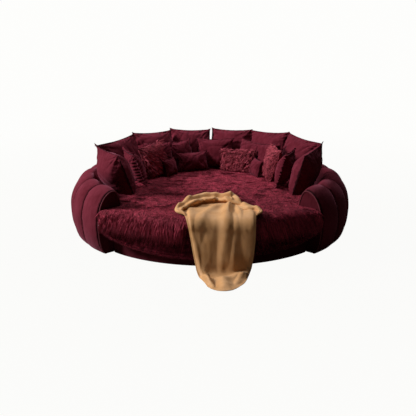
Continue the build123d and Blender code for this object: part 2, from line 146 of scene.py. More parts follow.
class Finish:
    """A material with one Principled shader, and the nodes that feed it."""

    def __init__(self, name, **constants):
        self.material = bpy.data.materials.new(name)
        self.material.use_nodes = True
        self.tree = self.material.node_tree
        self.shader = self.tree.nodes["Principled BSDF"]
        self.surface = Wire(self, self.shader.outputs[0])
        for socket, value in constants.items():
            self.shader.inputs[socket.replace("_", " ")].default_value = value
        self.place = self.node("ShaderNodeTexCoord", {}, {}, "Object")

    def node(self, kind, settings, inputs, output=0):
        """Add a node: its settings first, then the values or wires of its sockets."""
        made = self.tree.nodes.new(kind)
        for key, value in settings.items():
            setattr(made, key, value)
        for key, value in inputs.items():
            if isinstance(value, Wire):
                self.tree.links.new(value.socket, made.inputs[key])
            else:
                made.inputs[key].default_value = value
        return Wire(self, made.outputs[output])

    def grain(self, scale, detail=2.0, stretch=(1, 1, 1)):
        """Soft random values about a half, with features of 1 / scale metres."""
        place = self.node("ShaderNodeVectorMath", {"operation": "MULTIPLY"},
                          {0: self.place, 1: stretch})
        return self.node("ShaderNodeTexNoise", {},
                         {"Vector": place, "Scale": scale, "Detail": detail})

    def drift(self, scale, detail=2.0, stretch=(1, 1, 1)):
        """A grain with more contrast, from 0 to 1."""
        return self.range(self.grain(scale, detail, stretch), 0.3, 0.7)

    def read(self, key):
        """A number that the mesh carries at every point."""
        return self.node("ShaderNodeAttribute", {"attribute_name": key}, {}, "Fac")

    def blend(self, share, first, second):
        """Mix two colours by a share."""
        return self.node("ShaderNodeMix", {"data_type": "RGBA"},
                         {"Factor": share, 6: first, 7: second}, 2)

    def range(self, value, low, high, to_low=0.0, to_high=1.0):
        """Map a value from one range to another, clamped at both ends."""
        return self.node("ShaderNodeMapRange", {},
                         {"Value": value, "From Min": low, "From Max": high,
                          "To Min": to_low, "To Max": to_high})

    def feed(self, **wires):
        """Connect wires to the shader's own sockets."""
        for socket, wire in wires.items():
            self.tree.links.new(wire.socket, self.shader.inputs[socket.replace("_", " ")])

    def relief(self, height, depth, strength=1.0):
        """Raise the surface by a height, a depth in metres at 1."""
        bump = self.node("ShaderNodeBump", {},
                         {"Height": height, "Distance": depth, "Strength": strength})
        self.feed(Normal=bump)

    def finish_with(self, wire):
        """Give the material another last shader than the Principled one."""
        output = self.tree.nodes["Material Output"]
        self.tree.links.new(wire.socket, output.inputs["Surface"])


print("finish helper ready")

# %% [markdown]
# ## Velvet
# Velvet is a short upright pile. It looks dark where we look into the pile and pale where
# we look across it, which is what a Sheen lobe does. Hands and folds lay the pile over in
# patches, so the colour drifts between a deep and a dusty wine red. Along the seams the
# colour is painted darker, as painted shade for the shadow in the seams' valleys; the meshes
# carry where that falls as a number called seam.

# %% Velvet
wine_tint = (1.0, 0.34, 0.50, 1)


def make_velvet(name, deep, dusty, gloss=0.08, seam_shade_colour=(0.010, 0.0008, 0.0016, 1)):
    """A velvet between two colours, painted darker along its seams for the shadow there."""
    finish = Finish(name, Sheen_Weight=0.19, Sheen_Roughness=0.45, Sheen_Tint=wine_tint,
                    Specular_IOR_Level=gloss)
    patches = finish.range(finish.grain(6.0, 3.0), 0.32, 0.68)
    brushed = finish.drift(34.0, 3.0, (1, 1, 0.35))
    pile = finish.grain(900.0, 1.0)
    share = patches * 0.6 + brushed * 0.4
    # painted shade: along the seams the colour runs to the dark seam colour, for the shadow in the
    # seam's valley
    seam = finish.read("seam")
    finish.feed(Base_Color=finish.blend(seam, finish.blend(share, deep, dusty), seam_shade_colour),
                Roughness=finish.range(share, 0.0, 1.0, 0.95, 0.8))
    finish.relief(pile * 0.35 + brushed * 0.65, 0.0012)
    return finish.material


velvet = make_velvet("velvet", (0.086, 0.0058, 0.0124, 1), (0.150, 0.0152, 0.0295, 1))
piping_velvet = make_velvet("piping_velvet", (0.11, 0.012, 0.020, 1), (0.19, 0.030, 0.044, 1),
                            gloss=0.35)
# a darker copy of the same velvet, as painted shade, for the base band and the arm end panels,
# which stand in deep shade
shaded_velvet = make_velvet("shaded_velvet", (0.056, 0.0032, 0.0068, 1),
                          (0.100, 0.0095, 0.0180, 1))
print("velvet made")

# %% [markdown]
# ## Fur
# The fur is a thick backing with real wisps of pile on it. Each wisp carries two numbers:
# how far along it a point is, so that its root can be dark and its tip pale, and how light
# the wisp is as a whole. That second number is partly the wisp's own tone, because no two
# locks of long pile catch the dye alike, and partly painted light: paler on the far side of
# the bed and in brushed drifts, darker low on the skirt.

# %% Fur finishes
fur_backing = make_velvet("fur_backing", (0.075, 0.006, 0.011, 1), (0.120, 0.011, 0.020, 1))


def make_fur(name, root, tip, sheen=0.05):
    """Pile that is dark at the root and paler at the tip, each wisp lighter or darker by its tone
    and painted light.
    """
    finish = Finish(name, Sheen_Weight=sheen, Sheen_Roughness=0.35, Sheen_Tint=wine_tint,
                    Specular_IOR_Level=0.05, Roughness=0.55)
    along, tone_and_painted_light = finish.read("along"), finish.read("tone_and_painted_light")
    dye = finish.range(finish.grain(26.0, 2.0), 0.3, 0.7, -0.1, 0.1)
    share = finish.range(along * 0.45 + tone_and_painted_light * 0.60 + dye, 0.0, 1.05)
    finish.feed(Base_Color=finish.blend(share, root, tip))
    finish.relief(finish.grain(700.0, 1.0), 0.0006)
    return finish.material


fur = make_fur("fur", (0.050, 0.0028, 0.0062, 1), (0.66, 0.078, 0.132, 1))
cushion_fur = make_fur("cushion_fur", (0.036, 0.0028, 0.0060, 1), (0.72, 0.124, 0.172, 1),
                       sheen=0.08)
print("fur made")

# %% [markdown]
# ## Satin
# The throw is a heavy satin in caramel: a fine diagonal weave under a soft wide highlight.
# A wave texture turned by some 27 degrees draws the weave, and a slow cloud shifts the
# colour and the gloss a little, as in a cloth that has been folded.

# %% Satin
satin_finish = Finish("satin", Sheen_Weight=0.24, Sheen_Roughness=0.40,
                      Sheen_Tint=(1.0, 0.84, 0.62, 1), Specular_IOR_Level=0.12)
weave_place = satin_finish.node("ShaderNodeVectorRotate", {"rotation_type": "Z_AXIS"},
                                {"Vector": satin_finish.place, "Angle": math.radians(27)})
weave = satin_finish.node("ShaderNodeTexWave", {}, {"Vector": weave_place, "Scale": 260.0,
                                                    "Distortion": 1.5, "Detail": 1.0}, "Fac")
cloud = satin_finish.drift(9.0, 3.0)
satin_finish.feed(
    Base_Color=satin_finish.blend(cloud, (0.60, 0.302, 0.118, 1), (0.74, 0.412, 0.190, 1)),
    Roughness=satin_finish.range(cloud, 0.0, 1.0, 0.50, 0.42))
satin_finish.relief(weave, 0.0003, 0.5)
satin = satin_finish.material
print("satin made")

# %% [markdown]
# ## The plain materials inside
# Boards, foam, linings, glides and screws sit inside or below, but they deserve honest
# surfaces too. Each is two shades that drift into one another. Stretching the drift along
# one axis gives the grain of wood or the weft of a cloth.

# %% Inside finishes


def make_plain(name, first, second, scale, stretch, depth, rough):
    """A matt material whose colour drifts between two shades."""
    finish = Finish(name, Specular_IOR_Level=0.3)
    drift = finish.drift(scale, 4.0, stretch)
    finish.feed(Base_Color=finish.blend(drift, first, second),
                Roughness=finish.range(drift, 0.0, 1.0, rough, rough - 0.12))
    finish.relief(drift, depth)
    return finish.material


plywood = make_plain("plywood", (0.45, 0.30, 0.16, 1), (0.62, 0.45, 0.27, 1), 30.0, (1, 0.08, 1),
                     0.0004, 0.7)
foam = make_plain("foam", (0.62, 0.58, 0.45, 1), (0.72, 0.68, 0.56, 1), 220.0, (1, 1, 1),
                  0.0008, 0.95)
ticking = make_plain("ticking", (0.07, 0.010, 0.018, 1), (0.11, 0.018, 0.03, 1), 400.0,
                     (1, 0.2, 1), 0.0003, 0.9)
dust_cloth = make_plain("dust_cloth", (0.012, 0.012, 0.013, 1), (0.03, 0.03, 0.031, 1), 500.0,
                        (1, 1, 1), 0.0003, 0.9)
glide_plastic = make_plain("glide_plastic", (0.012, 0.012, 0.013, 1), (0.022, 0.022, 0.024, 1),
                           300.0, (1, 1, 1), 0.0001, 0.5)
print("inside materials made")

# %% Zinc-plated steel
zinc_finish = Finish("zinc_steel", Metallic=1.0)
spangle = zinc_finish.drift(160.0, 3.0)
zinc_finish.feed(
    Base_Color=zinc_finish.blend(spangle, (0.42, 0.42, 0.44, 1), (0.62, 0.62, 0.64, 1)),
    Roughness=zinc_finish.range(spangle, 0.0, 1.0, 0.42, 0.28))
zinc_finish.relief(spangle, 0.0001)
zinc_steel = zinc_finish.material
print("materials", len(bpy.data.materials))

# %% [markdown]
# ## Carried-over boards and fixings
# The rigid nodes keep their CAD shape and only get the finish that the record names.

# %% Dress the rigid nodes
record_slots = {row["node"]: row["material_slot"] for row in frame["record"]["subparts"]}
slot_finish = {"velvet": velvet, "fur": fur_backing, "satin": satin, "foam": foam,
               "ticking": ticking, "dust_cloth": dust_cloth, "plywood": plywood,
               "glide_plastic": glide_plastic, "zinc_steel": zinc_steel}
for node_name, node_object in frame["nodes"].items():
    node_object.data.materials.clear()
    node_object.data.materials.append(slot_finish[record_slots[node_name]])
print("dressed", len(record_slots), "nodes")

# %% [markdown]
# ## Mesh helpers
# Upholstery is easiest to build as grids of points made with numpy: a section is drawn
# once, carried round the ring, and pushed in and out wherever a seam pulls the cloth.

# %% Mesh builder


def make_mesh(name, points, *groups):
    """A smooth mesh from an array of points and arrays of faces."""
    mesh = bpy.data.meshes.new(name)
    mesh.vertices.add(len(points))
    mesh.vertices.foreach_set("co", np.asarray(points, np.float32).ravel())
    corners = np.concatenate([np.asarray(group).ravel() for group in groups])
    sizes = np.concatenate([np.full(len(group), np.shape(group)[1]) for group in groups])
    starts = np.concatenate([[0], np.cumsum(sizes)[:-1]])
    mesh.loops.add(len(corners))
    mesh.loops.foreach_set("vertex_index", corners.astype(np.int32))
    mesh.polygons.add(len(sizes))
    mesh.polygons.foreach_set("loop_start", starts.astype(np.int32))
    mesh.polygons.foreach_set("use_smooth", np.ones(len(sizes), bool))
    mesh.update(calc_edges=True)
    mesh.validate()
    return mesh


def grid_faces(rows, columns, closed_rows=False, closed_columns=False):
    """The quads of a grid whose points are counted row by row."""
    row = np.arange(rows if closed_rows else rows - 1)[:, None]
    column = np.arange(columns if closed_columns else columns - 1)[None, :]
    next_row = (row + 1) % rows
    next_column = (column + 1) % columns
    quads = np.stack([row * columns + column, row * columns + next_column,
                      next_row * columns + next_column, next_row * columns + column], -1)
    return quads.reshape(-1, 4)


print("mesh builder ready")

# %% [markdown]
# ## Pieces on their bodies
# A mesh becomes a piece once it rides on the body that carries it and wears its finish.
# If it stands for a solid of the CAD part, it takes that solid's place.

# %% Piece helpers


def add_piece(name, mesh, finish, body, nodes=(), sharp=None):
    """Put a mesh in the scene, on its body and in place of its CAD nodes."""
    if sharp is not None:
        mesh.set_sharp_from_angle(angle=math.radians(sharp))
    piece = bpy.data.objects.new(name, mesh)
    scene.collection.objects.link(piece)
    mesh.materials.append(finish)
    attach(piece, body)
    if nodes:
        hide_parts(*nodes)
    return piece


def thicken(piece, thickness):
    """Give a sheet of cloth its thickness, half to either side."""
    skin = piece.modifiers.new("cloth thickness", "SOLIDIFY")
    skin.thickness = thickness
    skin.offset = 0


print("piece helpers ready")

# %% [markdown]
# ## Noise, lines and soft steps
# Four small tools shape every cloth here: smooth noise for what stuffing and hands do,
# even points along a drawn line, a soft step from one state to the next, and numbers on
# the mesh that a material can read.

# %% Shaping helpers


def ripple(points, size, seed):
    """Smooth random values, one per point, with features of a size in metres."""
    shift = Vector((seed * 7.31, seed * 3.17, seed * 5.71))
    return np.array([noise.noise(Vector(point) / size + shift) for point in points])


def along_line(points, count, closed=False):
    """Points at even steps along a polyline."""
    line = np.asarray(points, float)
    if closed:
        line = np.vstack([line, line[:1]])
    lengths = np.concatenate([[0], np.cumsum(np.linalg.norm(np.diff(line, axis=0), axis=1))])
    steps = np.linspace(0, lengths[-1], count + 1)[:-1] if closed else (
        np.linspace(0, lengths[-1], count))
    return np.stack([np.interp(steps, lengths, line[:, axis]) for axis in range(line.shape[1])], 1)


def smooth_step(value, low, high):
    """0 below low, 1 above high, and a soft change between."""
    share = np.clip((value - low) / (high - low), 0, 1)
    return share * share * (3 - 2 * share)


def mark(mesh, key, values):
    """Write a number per point on a mesh, for a material to read."""
    layer = mesh.attributes.new(key, "FLOAT", "POINT")
    layer.data.foreach_set("value", np.asarray(values, np.float32).ravel())


def around(radius, azimuth, height):
    """Points from radii, azimuths in degrees and heights."""
    angle = np.radians(azimuth)
    return np.stack(np.broadcast_arrays(radius * np.cos(angle), radius * np.sin(angle), height),
                    -1)

print("shaping helpers ready")

# %% [markdown]
# ## The bed's main sizes
# These repeat the values that the CAD source starts from, in metres and degrees, so that
# the cloth lies where its solids are.

# %% Main sizes
ring_r, arm_height, seat_height = 1.450, 0.627, 0.452
inner_r, crest_r, foot_r = 1.121, 1.238, 1.342
widest_height, shoulder_height, glide_height = 0.292, 0.345, 0.006
mouth_angle, front_azimuth = 94.0, 270.0
arm_start, arm_end = -43.0, 223.0
module_names = ("bolster_right_arm", "bolster_back_right", "bolster_back_left",
                "bolster_left_arm")
channels_per_module = 5
channel_angle = (arm_end - arm_start) / (len(module_names) * channels_per_module)
base_ring_r, front_r, base_height = 1.119, 1.260, 0.208
mattress_ring_r, mattress_front_r, mattress_top = 1.112, 1.248, 0.4397
fur_front_r, fur_skirt, fur_round, fur_drop = 1.298, 0.034, 0.090, 0.068
# the far edge of the throw, from the left lobe over the roll to the right lobe
throw_far_edge = np.array([(-0.222, -1.235), (-0.268, -1.185), (-0.312, -1.135), (-0.326, -1.06),
                           (-0.29, -0.95), (-0.21, -0.80), (-0.14, -0.715), (-0.06, -0.67),
                           (0.05, -0.65), (0.15, -0.675), (0.22, -0.66), (0.265, -0.72),
                           (0.30, -0.84), (0.35, -0.945), (0.41, -0.99), (0.458, -1.05),
                           (0.478, -1.13), (0.450, -1.225)])
print("channel width at the rim", round(math.radians(channel_angle) * ring_r, 3), "m")

# %% [markdown]
# ## The bolster's section
# A flat inner wall, a rounded crest and a full outer side that draws in at the foot. The
# same line gives the channels, the piping and the end panels.

# %% Bolster section


def quarter_line(centre, across, up, start, count=24):
    """A quarter of an ellipse, clockwise from its start angle in degrees."""
    angle = np.radians(np.linspace(start, start - 90, count))
    return np.stack([centre[0] + across * np.cos(angle), centre[1] + up * np.sin(angle)], 1)


def bolster_line(inset):
    """The open line up the inner wall, over the crest and down to the foot."""
    return np.vstack([
        [[inner_r + inset, glide_height + inset]],
        quarter_line((crest_r, shoulder_height), crest_r - inner_r - inset,
                     arm_height - shoulder_height - inset, 180),
        quarter_line((crest_r, widest_height), ring_r - crest_r - inset,
                     arm_height - widest_height - inset, 90)[1:],
        quarter_line((foot_r, widest_height), ring_r - foot_r - inset,
                     widest_height - glide_height - inset, 0)[1:],
    ])


section_count = 110
section = along_line(bolster_line(0), section_count, closed=True)
ahead = np.roll(section, -1, 0) - np.roll(section, 1, 0)
outwards = np.stack([-ahead[:, 1], ahead[:, 0]], 1)
outwards /= np.linalg.norm(outwards, axis=1)[:, None]
section_run = np.linspace(0, 1, section_count, endpoint=False)
padded_share = smooth_step(section[:, 1], glide_height, 0.05)
print("section points", section_count)

# %% [markdown]
# ## Channelled padding
# Each channel is stuffed full and stitched down to the frame at its seams. Three things
# make the stitching believable: the broad roll of the channel, a narrow valley at the
# seam, and short puckers that run out of the seam and fade.

# %% Padding at a channel
steps_per_channel = 26
roll_depth, stitch_depth, pucker_depth = 0.024, 0.012, 0.007
crown_rise = 0.004
# how wide a stitch valley is, and how far the painted shade of a seam reaches either side of it
stitch_width, channel_seam_shade_width = 0.007, 0.011
pucker_size, pucker_reach = 0.018, 0.035
swell_size, swell_depth, slack_depth = 0.16, 0.005, 0.002
arm_roll_width, arm_roll_depth = 0.050, 0.028
# how far the padding stops short of the arm's end, where the panel sits
end_recess = 0.0094
# angles: the gap between two modules, and how far the recess and the last channel fade
module_gap, recess_fade, channel_fade = 0.004, 4, 2.5


def channel_inset(azimuth):
    """How far the cloth is drawn in at an azimuth, and its distance to the next seam."""
    place = (azimuth - arm_start) / channel_angle
    to_seam = np.abs(place - np.round(place))
    edge = 1 - 2 * to_seam
    metres = np.radians(to_seam * channel_angle) * crest_r
    inset = roll_depth * edge ** 3 + stitch_depth * np.exp(-(metres / stitch_width) ** 2)
    return inset - crown_rise * (1 - edge ** 2), metres


def arm_roll(azimuths, end):
    """How far the cloth rolls in towards the piping at an arm's end."""
    metres = np.radians(np.abs(azimuths - end)) * crest_r
    share = np.clip(1 - metres / arm_roll_width, 0, 1)
    return arm_roll_depth * (1 - np.sqrt(1 - share ** 2))


print("padding depth at a seam", round(roll_depth + stitch_depth, 4), "m")

# %% [markdown]
# ## Four bolster modules
# The ring is sewn as four covers of five channels. Each cover is the section carried from
# channel to channel, with its rows packed close at the seams, where the cloth bends most.
# The first and the last one also roll in towards the piping of an arm.

# %% Bolster modules
for module, module_name in enumerate(module_names):
    start = arm_start + module * channels_per_module * channel_angle
    seam_steps = (1 - np.cos(np.linspace(0, math.pi, steps_per_channel + 1))) / 2
    azimuths = [start + channel_angle * (channel + seam_steps[:-1])
                for channel in range(channels_per_module)]
    azimuths = np.append(np.concatenate(azimuths), start + channel_angle * channels_per_module)
    azimuths[0] += module_gap
    azimuths[-1] -= module_gap
    radii = np.broadcast_to(section[None, :, 0], (len(azimuths), section_count))
    turned = np.broadcast_to(azimuths[:, None], radii.shape).copy()
    behind_panel = np.degrees(end_recess / radii)
    inset, metres = channel_inset(azimuths)
    if module == 0:
        turned += behind_panel * (1 - smooth_step(azimuths, start, start + recess_fade))[:, None]
        inset = (inset * smooth_step(azimuths, start, start + channel_fade)
                 + arm_roll(azimuths, start))
    if module == len(module_names) - 1:
        end = azimuths[-1]
        turned -= behind_panel * smooth_step(azimuths, end - recess_fade, end)[:, None]
        inset = (inset * (1 - smooth_step(azimuths, end - channel_fade, end))
                 + arm_roll(azimuths, end))
    drawn = inset[:, None] * padded_share[None, :]
    plain_points = around(radii, turned, section[None, :, 1]).reshape(-1, 3)
    soft = ripple(plain_points, swell_size, 3) * swell_depth
    creased = ripple(np.stack([np.repeat(np.round((azimuths - arm_start) / channel_angle),
                                         section_count) * 0.7,
                               np.tile(section_run * 2.2, len(azimuths)),
                               np.repeat(metres, section_count) * 0.25], 1), pucker_size, 5)
    fade = np.exp(-metres / pucker_reach)[:, None] * padded_share[None, :]
    push = (soft.reshape(drawn.shape) - slack_depth) * padded_share[None, :] - drawn
    push = push + creased.reshape(drawn.shape) * fade * pucker_depth
    spread = section[None, :, :] + outwards[None, :, :] * push[..., None]
    spread[..., 1] = np.maximum(spread[..., 1], glide_height)
    points = around(spread[..., 0], turned, spread[..., 1]).reshape(-1, 3)
    sides = grid_faces(len(azimuths), section_count, closed_columns=True)[:, ::-1]
    caps = np.arange(section_count)[None, :]
    mesh = make_mesh(module_name + "_cover", points, sides, caps,
                     (caps + (len(azimuths) - 1) * section_count)[:, ::-1])
    # painted shade along the channel seams, for the shadow in their stitched valleys
    mark(mesh, "seam", np.exp(-(metres / channel_seam_shade_width) ** 2)[:, None] * padded_share[None, :])
    cover = add_piece(module_name + "_cover", mesh, velvet, "bed_frame", [module_name],
                      sharp=55)
print("bolster modules", len(module_names))

# %% [markdown]
# ## Arm ends
# Each arm is closed by a flat panel with a piped border. The panel is a thin pad, a little
# fuller in the middle, and the piping is a cord in a bias-cut sleeve, so the velvet on it
# twists slightly.

# %% The arm end's plane


def section_on_plane(line, azimuth, depth):
    """Section points (radius, height) on the arm end's plane, moved in by a depth."""
    angle = math.radians(azimuth)
    out = np.array([math.cos(angle), math.sin(angle), 0])
    side = np.array([-math.sin(angle), math.cos(angle), 0])
    inwards = side if azimuth == arm_start else -side
    return (line[:, :1] * out + line[:, 1:2] * np.array([0, 0, 1])
            + np.asarray(depth).reshape(-1, 1) * inwards)


def end_line(inset):
    """The bolster's line moved in, but still reaching down to the foot."""
    line = bolster_line(inset)
    line[:, 1] -= (inset - 0.006) * (1 - smooth_step(line[:, 1], 0.06, 0.25))
    return line


print("plane helpers ready")

# %% End panels and piping
panel_inset, piping_inset = 0.036, 0.029
# depths behind the arm end's plane: of the panel's border, its crown's rise, and its back
panel_border, panel_crown, panel_back = 0.0035, 0.004, 0.0085
cord_sides, cord_radius, cord_twist, cord_depth = 12, 0.0058, 0.0004, 0.003
panel_line = along_line(end_line(panel_inset), 120, closed=True)
panel_middle = panel_line.mean(0)
panel_shares = 1 - np.linspace(0, 1, 15)[:-1] ** 1.4
piping_line = along_line(end_line(piping_inset), 150)
for side_name, azimuth in (("right", arm_start), ("left", arm_end)):
    rings = []
    depths = panel_border - panel_crown * (1 - panel_shares ** 6)
    for share, depth in [(0.985, panel_back), *zip(panel_shares, depths)]:
        ring = panel_middle + (panel_line - panel_middle) * share
        rings.append(section_on_plane(ring, azimuth, np.full(len(ring), depth)))
    top = section_on_plane(panel_middle[None, :], azimuth, [panel_border - panel_crown])
    points = np.vstack(rings + [top])
    points += (ripple(points, 0.12, 9) * 0.0012)[:, None] * np.array([0.6, -0.8, 0])
    faces = grid_faces(len(rings), len(panel_line), closed_columns=True)
    last = (len(rings) - 1) * len(panel_line)
    fan = np.stack([last + np.arange(len(panel_line)),
                    last + (np.arange(len(panel_line)) + 1) % len(panel_line),
                    np.full(len(panel_line), len(points) - 1)], 1)
    back = np.arange(len(panel_line))[None, ::-1]
    mesh = make_mesh("end_panel_" + side_name + "_pad", points, faces, fan, back)
    # the panel wears the darker copy of the velvet: painted shade
    panel = add_piece("end_panel_" + side_name + "_pad", mesh, shaded_velvet, "bed_frame",
                      ["end_panel_" + side_name], sharp=60)

    centre = section_on_plane(piping_line, azimuth, np.full(len(piping_line), cord_depth))
    tangent = np.gradient(centre, axis=0)
    tangent /= np.linalg.norm(tangent, axis=1)[:, None]
    normal = np.cross(tangent, section_on_plane(np.zeros((1, 2)), azimuth, [1.0])[0])
    normal /= np.linalg.norm(normal, axis=1)[:, None]
    binormal = np.cross(tangent, normal)
    turns = np.linspace(0, 2 * math.pi, cord_sides, endpoint=False)
    winding = np.arange(len(centre))[:, None] * 3.84
    radius = cord_radius + cord_twist * np.sin(winding + 2 * turns[None, :])
    tube = (centre[:, None, :] + normal[:, None, :] * (radius * np.cos(turns))[..., None]
            + binormal[:, None, :] * (radius * np.sin(turns))[..., None])
    ends = np.arange(cord_sides)[None, :]
    mesh = make_mesh("end_piping_" + side_name + "_cord", tube.reshape(-1, 3),
                     grid_faces(len(centre), cord_sides, closed_columns=True), ends[:, ::-1],
                     ends + (len(centre) - 1) * cord_sides)
    add_piece("end_piping_" + side_name + "_cord", mesh, piping_velvet, "bed_frame",
              ["end_piping_" + side_name], sharp=60)
print("arm ends done")

# %% [markdown]
# ## Plan outlines
# The base and the mattress are round inside the bolster and a little wider in the mouth.
# One outline function serves the velvet band, the foam and the mattress.

# %% Rounded slabs


def off_front(azimuth):
    """How many degrees an azimuth lies off the middle of the open front, either way."""
    return np.abs((azimuth - front_azimuth + 180) % 360 - 180)


def plan_radii(azimuth, ring, front, side):
    """The outline's radius at each azimuth: ring inside the bolster, front in the mouth."""
    reach = mouth_angle / 2 - math.degrees(side / front)
    return np.where(off_front(azimuth) < reach, front, ring)


def azimuths_with_steps(reach, nudge, count):
    """Azimuths all the way round, with a close pair at each step of the outline."""
    even = np.linspace(0, 360, count, endpoint=False)
    steps = [front_azimuth + sign * (reach + off) for sign in (-1, 1) for off in (-nudge, nudge)]
    return np.sort(np.concatenate([even, np.array(steps) % 360]))


def add_slab(name, node, finish, body, ring, front, low, high, edge, side=0.014, hollow=0):
    """A rounded slab on the bed's plan, or a band where hollow is its thickness."""
    azimuths = azimuths_with_steps(mouth_angle / 2 - math.degrees(side / front), 0.02, 360)
    radii = plan_radii(azimuths, ring, front, side)
    turn = np.radians(np.linspace(-90, 90, 13))
    inset = np.concatenate([edge * (1 - np.cos(turn[:7])), edge * (1 - np.cos(turn[6:]))])
    height = np.concatenate([low + edge * (1 + np.sin(turn[:7])),
                             high - edge * (1 - np.sin(turn[6:]))])
    rows = list(zip(inset, height))
    if hollow:
        rows = rows + [(hollow, high), (hollow, low)]
    points = np.vstack([around(radii - inward, azimuths, np.full(len(azimuths), z))
                        for inward, z in rows])
    points = points + around(ripple(points, 0.22, 11) * 0.0015, np.tile(azimuths, len(rows)), 0)
    if hollow:
        faces = [grid_faces(len(rows), len(azimuths), True, True)]
    else:
        cap = np.arange(len(azimuths))[None, :]
        faces = [grid_faces(len(rows), len(azimuths), False, True), cap[:, ::-1],
                 cap + (len(rows) - 1) * len(azimuths)]
    mesh = make_mesh(name, points, *faces)
    return add_piece(name, mesh, finish, body, [node], sharp=50)


print("slab builder ready")

# %% Base and mattress
# the base band wears the darker copy of the velvet: painted shade
add_slab("base_band", "base_cover", shaded_velvet, "bed_frame", base_ring_r, front_r,
         glide_height, base_height, 0.002, hollow=0.005)
base_lining = add_slab("base_lining", "base_foam", foam, "bed_frame", 1.1137, 1.2547,
                       glide_height, base_height, 0.004, side=0.0193, hollow=0.010)
core = add_slab("mattress_block", "mattress_core", foam, "mattress", 1.1087, 1.2447,
                0.2116, 0.4001, 0.006, side=0.0173)
topper = add_slab("mattress_pad", "mattress_topper", foam, "mattress", 1.1087, 1.2447,
                  0.4004, 0.4364, 0.012, side=0.0173)
casing = add_slab("mattress_sleeve", "mattress_casing", ticking, "mattress",
                  mattress_ring_r, mattress_front_r, 0.2083, mattress_top, 0.012)
add_slab("under_cloth", "dust_cover", dust_cloth, "bed_frame", 1.0507, 1.0507,
         0.0045, 0.006, 0.0005)
print("slabs done")

# %% [markdown]
# ## The fur's backing
# The cover is flat on the mattress, rounds over the front edge and hangs as a skirt. Near
# the arms the skirt spreads over the faces of the arm ends and its hem climbs. Every
# azimuth gets the same number of points along its section, so the whole cover is one
# closed grid.

# %% The skirt's section
skirt_places = np.array([0, 0.36, 0.56, 0.71, 0.83, 0.92, 0.98])
skirt_reaches = np.array([0, 0.04, 0.12, 0.26, 0.50, 0.78, 1.0])
skirt_rises = np.array([0, 0.03, 0.10, 0.20, 0.38, 0.64, 1.0])
hem_height, wing_hem_height, wing_reach = 0.090, 0.330, 0.142
# the share of the mouth that the skirt fills, and the backing's thickness
wing_share, backing_thickness = 0.985, 0.012
wing_edge = wing_share * mouth_angle / 2


def hem_at(degrees_off):
    """The height of the fur's hem this far off the middle of the front."""
    return hem_height + (wing_hem_height - hem_height) * np.interp(
        degrees_off / (mouth_angle / 2), skirt_places, skirt_rises)


def skirt_section(degrees_off):
    """The section of the fur this far off the middle of the front: radii and heights."""
    place = degrees_off / (mouth_angle / 2)
    in_front = place < wing_share
    if in_front:
        reach = fur_front_r + wing_reach * np.interp(place, skirt_places, skirt_reaches)
        hem = hem_at(degrees_off)
        round_start, drop = reach - fur_round, fur_drop
    else:
        reach, round_start, drop = mattress_ring_r, mattress_ring_r - 0.006, 0.006
        hem = seat_height - 0.011
    turn = np.radians(np.linspace(90, 0, 9))
    top = [(round_start * share, seat_height)
           for share in (0.02, 0.12, 0.24, 0.36, 0.48, 0.58, 0.68, 0.76, 0.84, 0.90, 0.95, 0.98)]
    over = [(round_start + (reach - round_start) * math.cos(t),
             seat_height - drop + drop * math.sin(t)) for t in turn]
    low = seat_height - drop
    skirt = [(reach - 0.2 * fur_skirt * (low - z) / 0.3 - 0.4 * fur_skirt * max(0, share) ** 3, z)
             for share, z in zip(np.linspace(-1.5, 1, 8)[1:], np.linspace(low, hem, 8)[1:])]
    if in_front:
        tip = [(reach - 0.75 * fur_skirt, hem + 0.002), (reach - 0.95 * fur_skirt, hem + 0.014)]
        inside = [(reach - fur_skirt, z) for z in np.linspace(hem + 0.03, low, 5)]
        inside.append((mattress_front_r + 0.004, seat_height - backing_thickness))
    else:
        tip = [(reach - 0.001, hem - 0.0005), (reach - 0.002, hem - 0.001)]
        inside = [(reach - 0.003 - 0.001 * step, seat_height - backing_thickness)
                  for step in range(6)]
    under = [(mattress_ring_r * share, seat_height - backing_thickness)
             for share in (0.9, 0.5, 0.02)]
    return np.array(top + over + skirt + tip + inside + under)


print("skirt drop in front", round(seat_height - hem_height, 3), "m")

# %% Fur backing
fur_azimuths = azimuths_with_steps(wing_edge, 0.01, 300)
fur_sections = np.array([skirt_section(degrees_off) for degrees_off in off_front(fur_azimuths)])
section_rows = fur_sections.shape[1]
backing_points = around(fur_sections[..., 0], fur_azimuths[:, None],
                        fur_sections[..., 1]).reshape(-1, 3)
# the rows of the section that are the cover's upper side, over the front rounding's end
upper_rows = 21
upper = np.tile(np.arange(section_rows) < upper_rows, len(fur_azimuths))
swell = (ripple(backing_points, 0.35, 21) * 0.006 + ripple(backing_points, 0.12, 23) * 0.0025
         - 0.004)
backing_points[:, 2] += np.where(upper, swell, 0)
backing_faces = grid_faces(len(fur_azimuths), section_rows, True, False)[:, ::-1]
cap_top = (np.arange(len(fur_azimuths)) * section_rows)[None, :]
cap_under = cap_top[:, ::-1] + section_rows - 1
backing_mesh = make_mesh("fur_backing_cloth", backing_points, backing_faces, cap_top, cap_under)
backing = add_piece("fur_backing_cloth", backing_mesh, fur_backing, "mattress", ["fur_cover"],
                    sharp=80)
print("fur backing points", len(backing_points))

# %% [markdown]
# ## Wisps of pile
# A wisp is a slim bent cone with three sides. Wisps are sown over a surface at random, by
# area, and combed along a flow: each leaves the cloth along its normal and bends over in
# the direction of the flow. A curl swings it from side to side on its way to the tip.

# %% Sowing
rng = np.random.default_rng(41)


